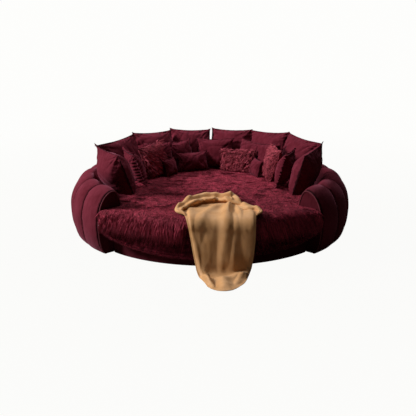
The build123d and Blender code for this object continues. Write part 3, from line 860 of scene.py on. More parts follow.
def sow(points, quads, count):
    """Random places on quads by area: points, normals."""
    corner = points[quads]
    normal = np.cross(corner[:, 2] - corner[:, 0], corner[:, 3] - corner[:, 1])
    area = np.linalg.norm(normal, axis=1)
    chosen = rng.choice(len(quads), count, p=area / area.sum())
    u, v = rng.random(count)[:, None], rng.random(count)[:, None]
    c = corner[chosen]
    place = (c[:, 0] * (1 - u) * (1 - v) + c[:, 1] * u * (1 - v) + c[:, 2] * u * v
             + c[:, 3] * (1 - u) * v)
    return place, normal[chosen] / area[chosen][:, None]


def between(low, high, count):
    """Random numbers from low to high."""
    return low + (high - low) * rng.random(count)


print("sowing ready")

# %% Wisp builder
# how far a wisp's root sinks into the cloth, and how fast a curl swings from root to tip
root_sink, curl_swing = 0.003, 9


def add_wisps(name, body, place, normal, flow, length, width, lift, tone_and_painted_light, bends=2, curl=0.0,
              droop=0.0, finish=None):
    """A piece of bent three-sided cones, from arrays with one row per wisp."""
    flow = flow - normal * (flow * normal).sum(1)[:, None]
    flow /= np.maximum(np.linalg.norm(flow, axis=1), 1e-6)[:, None]
    across = np.cross(normal, flow)
    count = len(place)
    # a curl starts at a random point of its swing
    swing = (rng.random(count) * 2 * math.pi)[:, None]
    rings = []
    for step in range(bends + 1):
        along = step / bends
        height = lift * (1 - (1 - along) ** 2) - root_sink * (step == 0)
        centre = place + normal * height[:, None] + flow * (length * along)[:, None]
        centre = centre + across * (np.sin(swing + along * curl_swing) - np.sin(swing)) * curl
        centre[:, 2] -= droop * (length * along) ** 2
        if step == bends:
            rings.append(centre)
            continue
        radius = (width * (1 - 0.25 * along))[:, None]
        for turn in (math.radians(90), math.radians(210), math.radians(330)):
            side = across * math.cos(turn) + normal * math.sin(turn) * 0.5
            rings.append(centre + side * radius)
    size = 3 * bends + 1
    first = (np.arange(count) * size)[:, None, None]
    sides = [[k * 3 + a, k * 3 + b, k * 3 + 3 + b, k * 3 + 3 + a] for k in range(bends - 1)
             for a, b in ((0, 1), (1, 2), (2, 0))]
    last = size - 4
    tips = [[last + a, last + b, size - 1] for a, b in ((0, 1), (1, 2), (2, 0))]
    mesh = make_mesh(name, np.stack(rings, 1).reshape(-1, 3),
                     (first + np.array(sides)[None]).reshape(-1, 4),
                     (first + np.array(tips)[None]).reshape(-1, 3))
    steps = np.repeat(np.arange(bends + 1), [3] * bends + [1]) / bends
    mark(mesh, "along", np.tile(steps, count))
    # each wisp's own tone together with its painted light
    mark(mesh, "tone_and_painted_light", np.repeat(tone_and_painted_light, size))
    return add_piece(name, mesh, finish or fur, body, ())


print("wisp builder ready")

# %% [markdown]
# ## Combing the cover
# On the flat top the pile was brushed by hand, so it lies in drifts that change direction
# every few hands. At the front it falls over the edge, and it fans out to both sides of
# the middle. Under the throw it is pressed flat.

# %% Combing the top
quads_by_section = backing_faces.reshape(len(fur_azimuths), section_rows - 1, 4)
in_mouth = off_front(fur_azimuths) < wing_edge - 0.1
edge_droop = 4.8


def under_throw(place):
    """Where the throw lies on the fur."""
    far_edge = np.interp(place[:, 0], throw_far_edge[2:-2, 0], throw_far_edge[2:-2, 1])
    return (place[:, 0] > -0.31) & (place[:, 0] < 0.44) & (place[:, 1] < far_edge - 0.02)


def comb_top(name, count):
    """Sow and comb pile on the flat top and the front rounding."""
    place, normal = sow(backing_points, quads_by_section[:, :17].reshape(-1, 4), count)
    # slow drifts about two hands wide, and quicker ones inside them
    drift = ripple(place, 0.22, 31) * 2.0 + ripple(place, 0.09, 33) * 1.4
    front = smooth_step(-place[:, 1], 0.75, 1.2)
    heading = (-math.pi / 2 + (drift * 1.5 + between(-0.35, 0.35, count)) * (1 - 0.6 * front)
               + np.clip(place[:, 0], -0.8, 0.8) * 0.75 * front)
    flow = np.stack([np.cos(heading), np.sin(heading), np.zeros(count)], 1)
    flow[:, 2] -= front * 0.4
    pressed = under_throw(place)
    lift = np.where(pressed, 0.001, between(0.005, 0.018, count) * (1 - 0.6 * front))
    length = np.where(pressed, 0.022, between(0.050, 0.100, count))
    # wisps lie together in locks of their own tone, and painted light makes the far side of the
    # bed paler and the brushed drifts lighter or darker
    lock = ripple(place, 0.040, 34)
    back = smooth_step(place[:, 1], -0.5, 0.3)
    tone_and_painted_light = np.clip(0.46 + 0.18 * back + (drift * 0.20 + lock * 0.5) * (1 - 0.75 * front)
                    + between(-0.45, 0.45, count), 0, 1)
    droop = edge_droop * smooth_step(np.hypot(place[:, 0], place[:, 1]), 1.11, 1.22) * front
    return add_wisps(name, "mattress", place, normal, flow, length,
                     between(0.0030, 0.0055, count), lift, tone_and_painted_light, droop=droop)


print("top of the pile ready to sow")

# %% [markdown]
# ## Combing the skirt
# The skirt's pile hangs from the rounding and ends a little past the hem. How long a wisp
# may be follows from the room that it has to the hem, so no tip hangs in the air below
# it. Locks that hang low are painted darker, as painted shade, because little light comes there.

# %% Combing the skirt


def comb_skirt(name, count, first_row=16):
    """Sow and comb pile on the hanging skirt, with its tips just past the hem."""
    quads = quads_by_section[in_mouth][:, first_row:28].reshape(-1, 4)
    place, normal = sow(backing_points, quads, count)
    degrees_off = np.abs(np.degrees(np.arctan2(place[:, 0], -place[:, 1])))
    side = np.clip(place[:, 0], -1, 1) * (1 - smooth_step(degrees_off, 41, 46))
    flow = np.stack([side * 1.0 + ripple(place, 0.12, 38) * 0.5 + between(-0.08, 0.08, count),
                     np.full(count, -0.2), np.full(count, -1.0)], 1)
    # a drooping wisp falls by its length plus droop times its square: solved for the length
    room = place[:, 2] - hem_at(degrees_off) + between(0.010, 0.042, count)
    droop = 0.01 + edge_droop * smooth_step(place[:, 2], 0.34, 0.43)
    hanging = (np.sqrt(1 + 4 * droop * np.maximum(room, 0.02)) - 1) / (2 * droop)
    length = np.minimum(between(0.085, 0.150, count), hanging)
    pressed = (place[:, 0] > -0.22) & (place[:, 0] < 0.42) & (place[:, 2] > 0.2)
    length = np.where(pressed, np.minimum(length, 0.03), length)
    lift = np.where(pressed, 0.002, between(0.004, 0.016, count))
    along_side = np.stack([place[:, 0] + place[:, 2] * side, place[:, 1], place[:, 2] * 0.12], 1)
    lock = ripple(along_side, 0.017, 40)
    # painted shade: the lower a lock hangs, the darker it is made
    low = 1 - smooth_step(place[:, 2], 0.14, 0.40)
    tone_and_painted_light = np.clip(0.50 + lock * 0.7 + between(-0.25, 0.25, count) - 0.50 * low, 0, 1)
    return add_wisps(name, "mattress", place, normal, flow, length,
                     between(0.0026, 0.0044, count), lift, tone_and_painted_light, droop=droop)


print("skirt of the pile ready to sow")

# %% Sow the cover
piles = [comb_top("fur_top_pile_1", 20000), comb_top("fur_top_pile_2", 20000),
         comb_top("fur_top_pile_3", 20000), comb_skirt("fur_skirt_pile_1", 18000),
         comb_skirt("fur_skirt_pile_2", 7000, 24)]
print("pile faces", sum(len(pile.data.polygons) for pile in piles))

# %% [markdown]
# ## Cushions
# Twenty-one cushions lean against the bolster and against each other, in rows. The big
# square ones stand at the back and on the arms, and the smaller ones in front of them.
# Each has a size and a place, which the CAD source gives too.

# %% Cushion sizes and places
back_size = (0.475, 0.480, 0.150)
arm_size = (0.480, 0.485, 0.160)
ruffled_size = (0.400, 0.400, 0.110)
fur_size = (0.385, 0.385, 0.110)
fur_lumbar_size = (0.420, 0.270, 0.104)
velvet_lumbar_size = (0.390, 0.240, 0.096)
centre_size = (0.440, 0.380, 0.100)
inner_size = (0.350, 0.370, 0.090)
small_size = (0.260, 0.205, 0.080)
# name: size, azimuth, radius as a share of the inner radius, turn, lean and tip
cushion_places = {
    "back_cushion_1": (back_size, 157.7, 0.845, -21.5, 17, 7),
    "back_cushion_2": (back_size, 127.3, 0.905, -10.9, 18.6, 0),
    "back_cushion_3": (back_size, 103.1, 0.917, -4.6, 19.6, -2.4),
    "back_cushion_4": (back_size, 77.6, 0.921, -2.0, 19.6, 0),
    "back_cushion_5": (back_size, 51.8, 0.929, 0.7, 17.5, 2.5),
    "back_cushion_6": (back_size, 27.8, 0.901, 10.4, 19.7, -6),
    "arm_cushion_left": (arm_size, 191.3, 0.814, 23.0, 22.4, 3),
    "arm_cushion_right": (arm_size, 348.4, 0.847, -15.7, 18.2, -6.3),
    "ruffled_cushion_left": (ruffled_size, 168.2, 0.674, 34.6, 20.6, -0.6),
    "ruffled_cushion_right": (ruffled_size, 5.2, 0.673, -26.0, 15.6, 0.7),
    "fur_cushion_left": (fur_size, 139.5, 0.675, 8.9, 19.7, 3.6),
    "fur_cushion_right": (fur_size, 30.8, 0.653, -22.8, 17.4, -2.6),
    "fur_lumbar": (fur_lumbar_size, 65.7, 0.725, 0.2, 10.7, 3),
    "velvet_lumbar": (velvet_lumbar_size, 104.1, 0.714, 5.0, 18.2, 0),
    "centre_cushion": (centre_size, 86.1, 0.807, -0.5, 15.9, 0.9),
    "inner_cushion_1": (inner_size, 110.1, 0.805, 7.7, 16.5, 4.9),
    "inner_cushion_2": (inner_size, 130.3, 0.797, -27.7, 14.3, 0.9),
    "inner_cushion_3": (inner_size, 62.8, 0.821, -5.1, 17.7, -7.4),
    "inner_cushion_4": (inner_size, 41.8, 0.794, 8.5, 9.7, 7.2),
    "small_cushion_left": (small_size, 128, 0.62, 25, 17.6, 0),
    "small_cushion_right": (small_size, 46, 0.64, -30, 15.3, 1),
}
print("cushions", len(cushion_places))

# %% [markdown]
# ## How cushions differ
# No two stuffed cushions are alike: some have long ears, some sag at the top, and some are
# pressed flat by their neighbours. A few small tables hold what is special about each one,
# and a usual value serves all the others.

# %% What is special about each cushion
# how deep a cushion's foot would sink in, and how far over the fur it is held instead
cushion_sink, soft_gap = 0.010, 0.0003
rest_height = seat_height + soft_gap
frill_width = 0.018
stuffing_cells, cloth_cells = 30, 72
pleat_step = 0.036
crown_size_shares = [0.14, 0.38, 0.66, 0.90, 1.0]
crown_rise_shares = [1.0, 0.95, 0.80, 0.45, 0.0]
foot_share = 0.92
frill_seam = 2 * frill_width - 0.002
# the simulation swells a form of this share of the full thickness, by this much at most,
# and this share of its moves is kept along the cloth's width and height
unstuffed_share, most_stretch, kept_across, kept_along = 0.88, 0.026, 0.3, 0.35
stuffing_frames = 14
# how far the stuffing reaches past the plain form: at the face, at the back
reaches = {"arm_cushion_left": (0.060, 0.085), "arm_cushion_right": (0.048, 0.032),
           "back_cushion_1": (0.0, 0.008), "fur_cushion_left": (0.014, 0.0),
           "inner_cushion_4": (0.004, 0.004), "small_cushion_right": (0.010, 0.0),
           "ruffled_cushion_left": (0.034, 0.012), "ruffled_cushion_right": (0.036, 0.020)}
usual_reach = (0.014, 0.008)
# how far the sides and the top draw in, as shares of the half sizes
row_bows, arm_bows, small_bows, usual_bows = (0.0, 0.075), (0.02, 0.03), (0.11, 0.12), (0.05, 0.08)
# how far the top corners stand out sideways and up: at the left, at the right
ears = {"back_cushion_1": (0.080, 0.008, 0.0, 0.0), "back_cushion_6": (0.008, 0.065, 0.0, 0.0),
        "arm_cushion_left": (0.020, 0.020, 0.010, 0.030),
        "arm_cushion_right": (0.020, 0.012, 0.024, 0.006)}
usual_ears = (0.009, 0.009, 0.0, 0.0)
# the share of the swelling that is missing at the top, where the stuffing has sunk
top_sag = 0.6
# how blunt the form is towards its foot and its top: a small exponent is blunt
foot_bluntness, top_bluntness = 0.34, 0.60
# cushions stuffed so loosely that they swell only by this share
slack = {"back_cushion_1": 0.3, "fur_cushion_left": 0.4}
# cushions whose form runs out finer towards the top
sharp_tops = {"arm_cushion_left": 1.0, "arm_cushion_right": 0.75}
# how far a seam at the side stands out past the plain form: at the left, at the right
wide_sides = {"back_cushion_1": (0.015, 0.0), "back_cushion_2": (0.002, 0.002),
              "back_cushion_3": (0.003, 0.0), "back_cushion_4": (0.0, 0.012),
              "back_cushion_5": (0.032, 0.008)}


print("special cushions", sorted(reaches))

# %% [markdown]
# ## The sewn form of a cushion
# Every cushion is two squares of cloth sewn at their edges and stuffed. The stuffing
# swells the middle, the sides draw in and the corners stay behind as ears. A formula
# gives that form on a grid, once coarse and once fine.

# %% Cushion form


def cushion_frame(azimuth, radius, turn, lean, tip):
    """Origin and axes of a cushion's seam plane."""
    facing = np.array([math.cos(math.radians(azimuth + 180 + turn)),
                       math.sin(math.radians(azimuth + 180 + turn)), 0])
    upright = np.array([0, 0, 1.0])
    lean, tip = math.radians(lean), math.radians(tip)
    up = upright * math.cos(lean) - facing * math.sin(lean)
    out = facing * math.cos(lean) + upright * math.sin(lean)
    across = np.cross(up, out) * math.cos(tip) + up * math.sin(tip)
    origin = np.array([radius * math.cos(math.radians(azimuth)),
                       radius * math.sin(math.radians(azimuth)), rest_height - cushion_sink])
    return origin, np.stack([across, np.cross(out, across), out])


def pillow_form(size, bows, ear, wide, top, cells):
    """A stuffed form between two sewn rectangles.

    Gives its points, faces, each point's u and v, and the point of the back sheet that
    lies behind each point of the front sheet.
    """
    width, height, thickness = size
    reach = 0.92 * math.pi / 2
    step = np.sin(np.linspace(-reach, reach, cells + 1)) / math.sin(reach)
    u, v = np.meshgrid(step, step)
    x = width / 2 * u * (1 - bows[0] * (1 - v ** 2) * np.abs(u) ** 3)
    y = height / 2 * v * (1 - bows[1] * (1 - u ** 2) * np.abs(v) ** 3)
    fullness = np.where(v < 0, foot_bluntness, top)
    rise = thickness / 2 * (1 - u ** 2) ** 0.52 * (1 - v ** 2) ** fullness
    corner = (np.abs(u) * np.maximum(v, 0)) ** 7
    x = x + corner * np.where(u < 0, -ear[0], ear[1])
    y = y + corner * np.where(u < 0, ear[2], ear[3])
    x = x + np.abs(u) ** 3 * np.where(u < 0, -wide[0], wide[1])
    front = np.stack([x, y + height / 2, rise, u, v], -1).reshape(-1, 5)
    back = front * np.array([1, 1, -1, 1, 1])
    count = (cells + 1) ** 2
    edge = ((np.abs(u) > 0.9999) | (np.abs(v) > 0.9999)).ravel()
    behind = np.where(edge, np.arange(count), 0)
    behind[~edge] = count + np.arange((~edge).sum())
    points = np.vstack([front, back[~edge]])
    quads = grid_faces(cells + 1, cells + 1)
    return points[:, :3], np.vstack([quads, behind[quads][:, ::-1]]), points[:, 3:], behind


print("cushion form ready")

# %% [markdown]
# ## Stuffing a cushion
# A formula is too even. So a short cloth simulation with inner pressure swells the coarse
# form, and its moves are carried over to the fine one. The result is then held near the
# plain solid, because the cushions must still draw out past one another.

# %% Stuffing simulation


def stuff(points, faces, cap):
    """How a form's points move as it swells in a short cloth simulation, up to a cap."""
    form = bpy.data.objects.new("stuffing", make_mesh("stuffing", points, faces))
    scene.collection.objects.link(form)
    cloth = form.modifiers.new("cloth", "CLOTH")
    settings = cloth.settings
    settings.quality = 4
    settings.mass = 0.3
    settings.tension_stiffness = settings.compression_stiffness = 12
    settings.shear_stiffness = 4
    settings.bending_stiffness = 0.4
    settings.use_pressure = True
    settings.uniform_pressure_force = 4.0
    settings.shrink_min = -0.03
    settings.effector_weights.gravity = 0
    cloth.collision_settings.use_collision = False
    cloth.collision_settings.use_self_collision = False
    for number in range(1, stuffing_frames + 1):
        scene.frame_set(number)
    swollen = form.evaluated_get(bpy.context.evaluated_depsgraph_get())
    result = np.zeros(len(points) * 3, np.float32)
    swollen.data.vertices.foreach_get("co", result)
    bpy.data.objects.remove(form)
    scene.frame_set(1)
    move = result.reshape(-1, 3) - points
    far = np.linalg.norm(move, axis=1)
    return move * np.minimum(1, cap / np.maximum(far, 1e-9))[:, None]


print("stuffing ready")

# %% [markdown]
# ## From the coarse form to the fine one
# A simulation of the fine grid would take minutes. The coarse moves are smooth, so it is
# enough to read them between their points for the finer grid.

# %% Carrying over and holding


def refine(grid, count):
    """A square grid of values at more places."""
    for axis in (0, 1):
        place = np.linspace(0, grid.shape[axis] - 1, count)
        low = np.minimum(place.astype(int), grid.shape[axis] - 2)
        share = (place - low).reshape((-1, 1, 1) if axis == 0 else (1, -1, 1))
        grid = np.take(grid, low, axis) * (1 - share) + np.take(grid, low + 1, axis) * share
    return grid


def carry_over(move, behind, fine_behind):
    """The moves of a coarse form at the points of a fine one."""
    sheets = []
    for sheet in (move[:len(behind)], move[behind]):
        side = math.isqrt(len(behind))
        fine = refine(sheet.reshape(side, side, 3), math.isqrt(len(fine_behind)))
        sheets.append(fine.reshape(-1, 3))
    return np.vstack([sheets[0], sheets[1][fine_behind >= len(fine_behind)]])


# how far the cloth may leave the solid, at its faces and its foot, and what of the rest stays
hold_slack, foot_slack, past_share, most_past = 0.004, 0.002, 0.15, 0.02


def hold(points, width, height, thickness):
    """Keep a cushion's points near its CAD solid."""
    u = np.abs(points[:, 0]) / (width / 2)
    v = (points[:, 1] - height / 2) / (height / 2)
    v = np.where(v < 0, -v * foot_share, v)
    most = thickness / 2 * np.interp(np.maximum(u, v), crown_size_shares, crown_rise_shares)
    most += hold_slack
    held = points.copy()
    held[:, 1] = np.maximum(points[:, 1], -foot_slack)
    high = np.abs(points[:, 2])
    eased = most + past_share * np.minimum(high - most, most_past)
    held[:, 2] = np.sign(points[:, 2]) * np.where(high > most, eased, high)
    return held


print("carrying over ready")

# %% [markdown]
# ## Puckers, creases and sag
# What tells velvet cushions from plastic ones is how the cloth gives: puckers that run in
# from the seams, long creases out of the corners, drag lines across the face and a slow
# sag. Each is noise on its own coordinates, sharpened to valleys.

# %% Gathering the cloth


def creases(points, size, seed):
    """Soft folds with sharper valleys between them: 1 in a valley, 0 on a fold."""
    return np.clip(1 - 3.2 * np.abs(ripple(points, size, seed)), 0, 1) ** 1.3


# the depth of the creases on a cushion of the usual height, and the sizes of the noise
crease_depth, usual_height = 0.0115, 0.48
pucker_noise, corner_noise, drag_noise, sag_noise, hem_noise = 0.042, 0.052, 0.085, 0.15, 0.03


def gather(points, place, size, seed, pleats):
    """Pucker a cushion along its seams, crease it out of its corners and let it sag."""
    width, height, _ = size
    u, v = place[:, 0], place[:, 1]
    to_side, to_top = (1 - np.abs(u)) * width / 2, (1 - np.abs(v)) * height / 2
    to_seam = np.minimum(to_side, to_top)
    run = np.where(to_side < to_top, v * height / 2, u * width / 2 + 1)
    step = np.stack([run + to_seam * 0.3 * np.sign(u * v), to_seam * 0.10,
                     np.full(len(run), seed * 1.7)], 1)
    inner = smooth_step(to_seam, 0.0, 0.03)
    foot = 1 + smooth_step(-v, 0.45, 0.9)
    pucker = creases(step, pucker_noise, seed)
    if pleats:
        wander = ripple(step, 0.12, seed + 6) * 2.5
        pucker = 1.4 * (1 - np.abs(np.sin(math.pi * run / pleat_step + wander)))
    pucker_run = 0.10 if pleats else 0.06
    pucker *= 1.5 * smooth_step(to_seam, 0, 0.008) * np.exp(-to_seam / pucker_run) * foot
    reach = np.hypot(to_side, to_top)
    corner = np.stack([np.arctan2(to_top, to_side) * 0.15, reach * 0.10,
                       np.sign(u) + 3 * np.sign(v) + seed], 1)
    near_corner = np.exp(-((reach - 0.10) / 0.09) ** 2)
    crease = creases(corner, corner_noise, seed + 2) * near_corner * inner
    slant = math.radians(35 + 70 * math.sin(seed * 2.3))
    drag = np.stack([points[:, 0] * math.cos(slant) + points[:, 1] * math.sin(slant),
                     (points[:, 1] * math.cos(slant) - points[:, 0] * math.sin(slant)) * 0.35,
                     np.sign(points[:, 2]) + seed], 1)
    drag = creases(drag, drag_noise, seed + 3) * inner
    sag = ripple(points + seed * 2, sag_noise, seed + 4) * inner
    depth = crease_depth * math.sqrt(height / usual_height)
    shaped = points.copy()
    side = np.where(np.arange(len(points)) < (cloth_cells + 1) ** 2, 1.0, -1.0)
    valleys = pucker + 1.1 * crease + 0.6 * drag - 0.8 * sag - 0.2 * inner
    shaped[:, 2] -= side * depth * valleys
    shaped[:, 2] += (to_seam < 1e-6) * depth * 0.6 * ripple(step, hem_noise, seed + 5)
    return shaped


print("gathering ready")

# %% Stuff the cushions
cushion_forms = {}
for seed, (name, (size, azimuth, share, turn, lean, tip)) in enumerate(cushion_places.items()):
    inset = frill_seam if name.startswith("ruffled") else 0
    size = (size[0] - inset, size[1] - inset, size[2])
    plain_size = (size[0], size[1], size[2] * unstuffed_share)
    family = name.split("_")[0]
    bows = {"back": row_bows, "arm": arm_bows, "small": small_bows}.get(family, usual_bows)
    shape = (plain_size, bows, ears.get(name, usual_ears), wide_sides.get(name, (0, 0)),
             sharp_tops.get(name, top_bluntness))
    coarse, coarse_faces, _, coarse_behind = pillow_form(*shape, stuffing_cells)
    points, faces, place, behind = pillow_form(*shape, cloth_cells)
    move = carry_over(stuff(coarse, coarse_faces, most_stretch), coarse_behind, behind)
    move[:, 2] *= (1 - top_sag * smooth_step(place[:, 1], 0.2, 1.0)) * slack.get(name, 1)
    move[:, :2] *= (0 if family == "back" else kept_across, kept_along)
    points = hold(points + move, *size)
    points[:, 1] += inset / 2
    origin, axes = cushion_frame(azimuth, inner_r * share, turn, lean, tip)
    cushion_forms[name] = [points, faces, place, behind, origin, axes, size]
print("cushions stuffed", len(cushion_forms))

# %% [markdown]
# ## Cushions against their neighbours
# A ray from every point, straight out of the cushion's face, tells how much room there is.
# A cushion takes half of the room towards another cushion, and all but a few millimetres
# towards the bolster and the fur. After that come the puckers, which only sink in.

# %% What the rays may meet
crowd_points, crowd_faces, crowd_owners = [], [], []


def join_crowd(points, faces, owner):
    """Add a piece to what the rays may meet."""
    start = sum(len(part) for part in crowd_points)
    crowd_points.append(points)
    crowd_faces.extend((np.asarray(faces) + start).tolist())
    crowd_owners.extend([owner] * len(faces))


for name, (points, faces, _, _, origin, axes, _) in cushion_forms.items():
    join_crowd(origin + points @ axes, faces, name)
for module_name in module_names:
    cover = bpy.data.meshes[module_name + "_cover"]
    corners = np.array([face.vertices[:] for face in cover.polygons if len(face.vertices) == 4])
    spots = np.zeros(len(cover.vertices) * 3, np.float32)
    cover.vertices.foreach_get("co", spots)
    join_crowd(spots.reshape(-1, 3), corners, "bolster")
crowd = BVHTree.FromPolygons(np.vstack(crowd_points).tolist(), crowd_faces)
print("faces around the cushions", len(crowd_faces))

# %% Rooms between the cushions
# a ray starts this far ahead of its point, and the cloth stops this far short of what it meets
ray_start, ray_margin = 0.003, 0.004


def room_ahead(starts, heading, owner, most):
    """How far each point may go along a heading."""
    room = np.full(len(starts), most)
    heading = Vector(heading)
    for number, start in enumerate(starts):
        spot, _, face, far = crowd.ray_cast(Vector(start) + heading * ray_start, heading,
                                            2.2 * most)
        if spot is not None and crowd_owners[face] != owner:
            share = 1.0 if crowd_owners[face] == "bolster" else 0.5
            room[number] = max(0.0, (far - ray_margin) * share)
    return room


def even_out(grid, times):
    """Smooth a grid of rooms without ever exceeding it."""
    smooth = grid.copy()
    for _ in range(times):
        middle = (smooth[:-2, 1:-1] + smooth[2:, 1:-1] + smooth[1:-1, :-2] + smooth[1:-1, 2:]) / 4
        smooth[1:-1, 1:-1] = np.minimum(middle, grid[1:-1, 1:-1])
    return smooth


print("rays ready")

# %% Swelling and creasing
# how dark and how wide the painted shade along a cushion's edge seam is
seam_shade_strength, seam_shade_width = 0.85, 0.0045
for seed, (name, form) in enumerate(cushion_forms.items()):
    points, faces, place, behind, origin, axes, size = form
    world = origin + points @ axes
    grid_side = cloth_cells + 1
    swell = np.zeros(len(points))
    face_reach, back_reach = reaches.get(name, usual_reach)
    for sheet, way, most in ((np.arange(grid_side ** 2), 1, face_reach),
                             (behind, -1, back_reach)):
        u, v = place[sheet, 0], place[sheet, 1]
        bell = np.maximum((1 - u ** 2) * (1 - v ** 2), 0) ** 0.75
        bell *= 1 - top_sag * smooth_step(v, 0.1, 0.9)
        room = np.minimum(room_ahead(world[sheet], axes[2] * way, name, most), most * bell)
        swell[sheet] = even_out(room.reshape(grid_side, grid_side), 8).ravel() * way
    points = points.copy()
    points[:, 2] += swell
    points = gather(points, place, size, seed, name.startswith("ruffled"))
    world = origin + points @ axes
    world[:, 2] = np.maximum(world[:, 2], rest_height)
    to_seam = np.minimum((1 - np.abs(place[:, 0])) * size[0],
                         (1 - np.abs(place[:, 1])) * size[1]) / 2
    mesh = make_mesh(name + "_pad", world, faces)
    # painted shade along the edge seam, for the shadow where the two sheets meet
    mark(mesh, "seam", seam_shade_strength * np.exp(-(to_seam / seam_shade_width) ** 2))
    pad = add_piece(name + "_pad", mesh, fur_backing if record_slots[name] == "fur" else velvet,
                    name, [name])
    form[0] = world
print("cushions placed", len(cushion_forms))

# %% [markdown]
# ## Fur on the fur cushions
# The left square cushion has long straight strands combed down to the right, the right one
# a shorter even pile, and the long lumbar cushion tight curls that run down to the left.

# %% Fur cushions
fur_cushion_pile = {
    # name: wisps, slant, length, width, lift, bends, curl, how pale: partly each cushion's own
    # tone and partly painted light, raised on the left one, which stands in shade
    "fur_cushion_left": (3400, 0.75, 0.100, 0.0048, 0.016, 2, 0.0, 0.84),
    "fur_cushion_right": (6500, -0.25, 0.032, 0.0040, 0.008, 2, 0.0, 0.74),
    "fur_lumbar": (2300, -0.8, 0.060, 0.0048, 0.020, 4, 0.006, 0.58),
}
for number, (name, pile) in enumerate(fur_cushion_pile.items()):
    count, slant, length, width, lift, bends, curl, paleness_and_light = pile
    world, faces, axes = (cushion_forms[name][part] for part in (0, 1, 5))
    place, normal = sow(world, faces, count)
    normal = normal * np.sign(((place - world.mean(0)) * normal).sum(1))[:, None]
    wave = ripple(place, 0.06, 50 + number)
    flow = -axes[1] + np.outer(slant + wave * 0.4 + between(-0.2, 0.2, count), axes[0])
    at_back = (normal * axes[2]).sum(1) < -0.2
    keep = place[:, 2] > rest_height + 0.015
    kept = int(keep.sum())
    tip_drop = np.maximum(place[keep, 2] - rest_height, 0.012)
    short = np.where(at_back[keep], 0.25, 1.0)
    add_wisps(name + "_pile", name, place[keep], normal[keep], flow[keep],
              np.minimum(between(0.7, 1.2, kept) * length * short, tip_drop),
              between(0.8, 1.3, kept) * width, between(0.5, 1.1, kept) * lift * short ** 2,
              np.clip(paleness_and_light + wave[keep] * 0.3 + between(-0.8, 0.4, kept), 0, 1), bends, curl,
              finish=cushion_fur)
print("fur cushions done")

# %% [markdown]
# ## Gathered frills
# A frill is a strip twice as long as the edge that it is sewn to, so it stands in tight
# waves. The waves grow from nothing at the seam to their full height at the free edge.

# %% Frills
frill_gathers, frill_wave, frill_cloth = 46, 0.0110, 0.0016
for name in ("ruffled_cushion_left", "ruffled_cushion_right"):
    (width, height, _), azimuth, share, turn, lean, tip = cushion_places[name]
    origin, axes = cushion_frame(azimuth, inner_r * share, turn, lean, tip)
    path = along_line(np.array([(-1, -1), (1, -1), (1, 1), (-1, 1)], float), 900, closed=True)
    x, y = path[:, 0], path[:, 1]
    run = np.linspace(0, 2 * math.pi, len(path), endpoint=False)
    # the gathers are neither evenly spaced nor evenly full
    phase = run * frill_gathers + 2.2 * np.sin(run * 9)
    fullness = 0.75 + 0.4 * np.sin(run * 13 + 1) * np.sin(run * 5)
    rings = []
    for across_share in (0.0, 0.3, 0.6, 0.85, 1.0):
        reach = -frill_width + (frill_width + 0.004) * across_share
        px = (width / 2 + reach) * x * (1 - 0.07 * (1 - y ** 2) * np.abs(x) ** 3)
        py = height / 2 + (height / 2 + reach) * y * (1 - 0.10 * (1 - x ** 2) * np.abs(y) ** 3)
        wave = frill_wave * across_share ** 0.8 * fullness * np.sin(phase + across_share * 0.5)
        rings.append(np.stack([px, py, wave], 1))
    strip = origin + np.vstack(rings) @ axes
    strip[:, 2] = np.maximum(strip[:, 2], rest_height)
    mesh = make_mesh(name + "_frill", strip, grid_faces(len(rings), len(path), False, True))
    thicken(add_piece(name + "_frill", mesh, velvet, name, ()), frill_cloth)
print("frills done")

# %% [markdown]
# ## The throw
# The satin lies on the fur with its far edge bunched into a roll, runs over the front edge,
# leans out as it falls and spreads on the floor. It is one grid of points. Its rows follow
# the roll's arch at first and straighten out towards the edge; the folds are ridges that
# wander down the cloth, each with a height and a width that change along it.

# %% The throw's sizes and folds
throw_rows_roll, throw_rows_top, throw_rows_edge = 48, 60, 22
throw_rows_hang, throw_rows_floor, throw_columns = 60, 50, 170
throw_front, fur_edge_y, throw_base = -1.338, -1.205, seat_height + 0.015
throw_drop = 0.110
floor_edge_y, throw_tip_y = -1.475, -1.905
edge_run_length, hang_run_length, floor_run_length = 0.190, 0.360, 0.385
throw_thickness, lowest_point = 0.003, 0.0035

# the far edge's roll, as forward reach and height over the fur, for a full bunch
roll_path = np.array([(0.050, 0.004), (0.022, 0.006), (0.004, 0.028), (0.004, 0.058),
                      (0.024, 0.082), (0.050, 0.082), (0.070, 0.060), (0.080, 0.046),
                      (0.094, 0.056), (0.116, 0.068), (0.142, 0.060), (0.156, 0.042),
                      (0.142, 0.026), (0.112, 0.018), (0.108, 0.008), (0.150, 0.004)])
# the cloth's side edges below the roll: run, left, right
side_edges = np.array([(0.46, -0.262, 0.430), (0.56, -0.228, 0.412), (0.66, -0.203, 0.404),
                       (0.74, -0.186, 0.402), (0.84, -0.166, 0.398), (0.95, -0.146, 0.386),
                       (1.06, -0.118, 0.368), (1.13, -0.094, 0.350), (1.21, -0.068, 0.336),
                       (1.32, -0.040, 0.318), (1.42, -0.022, 0.296), (1.50, 0.010, 0.262)])
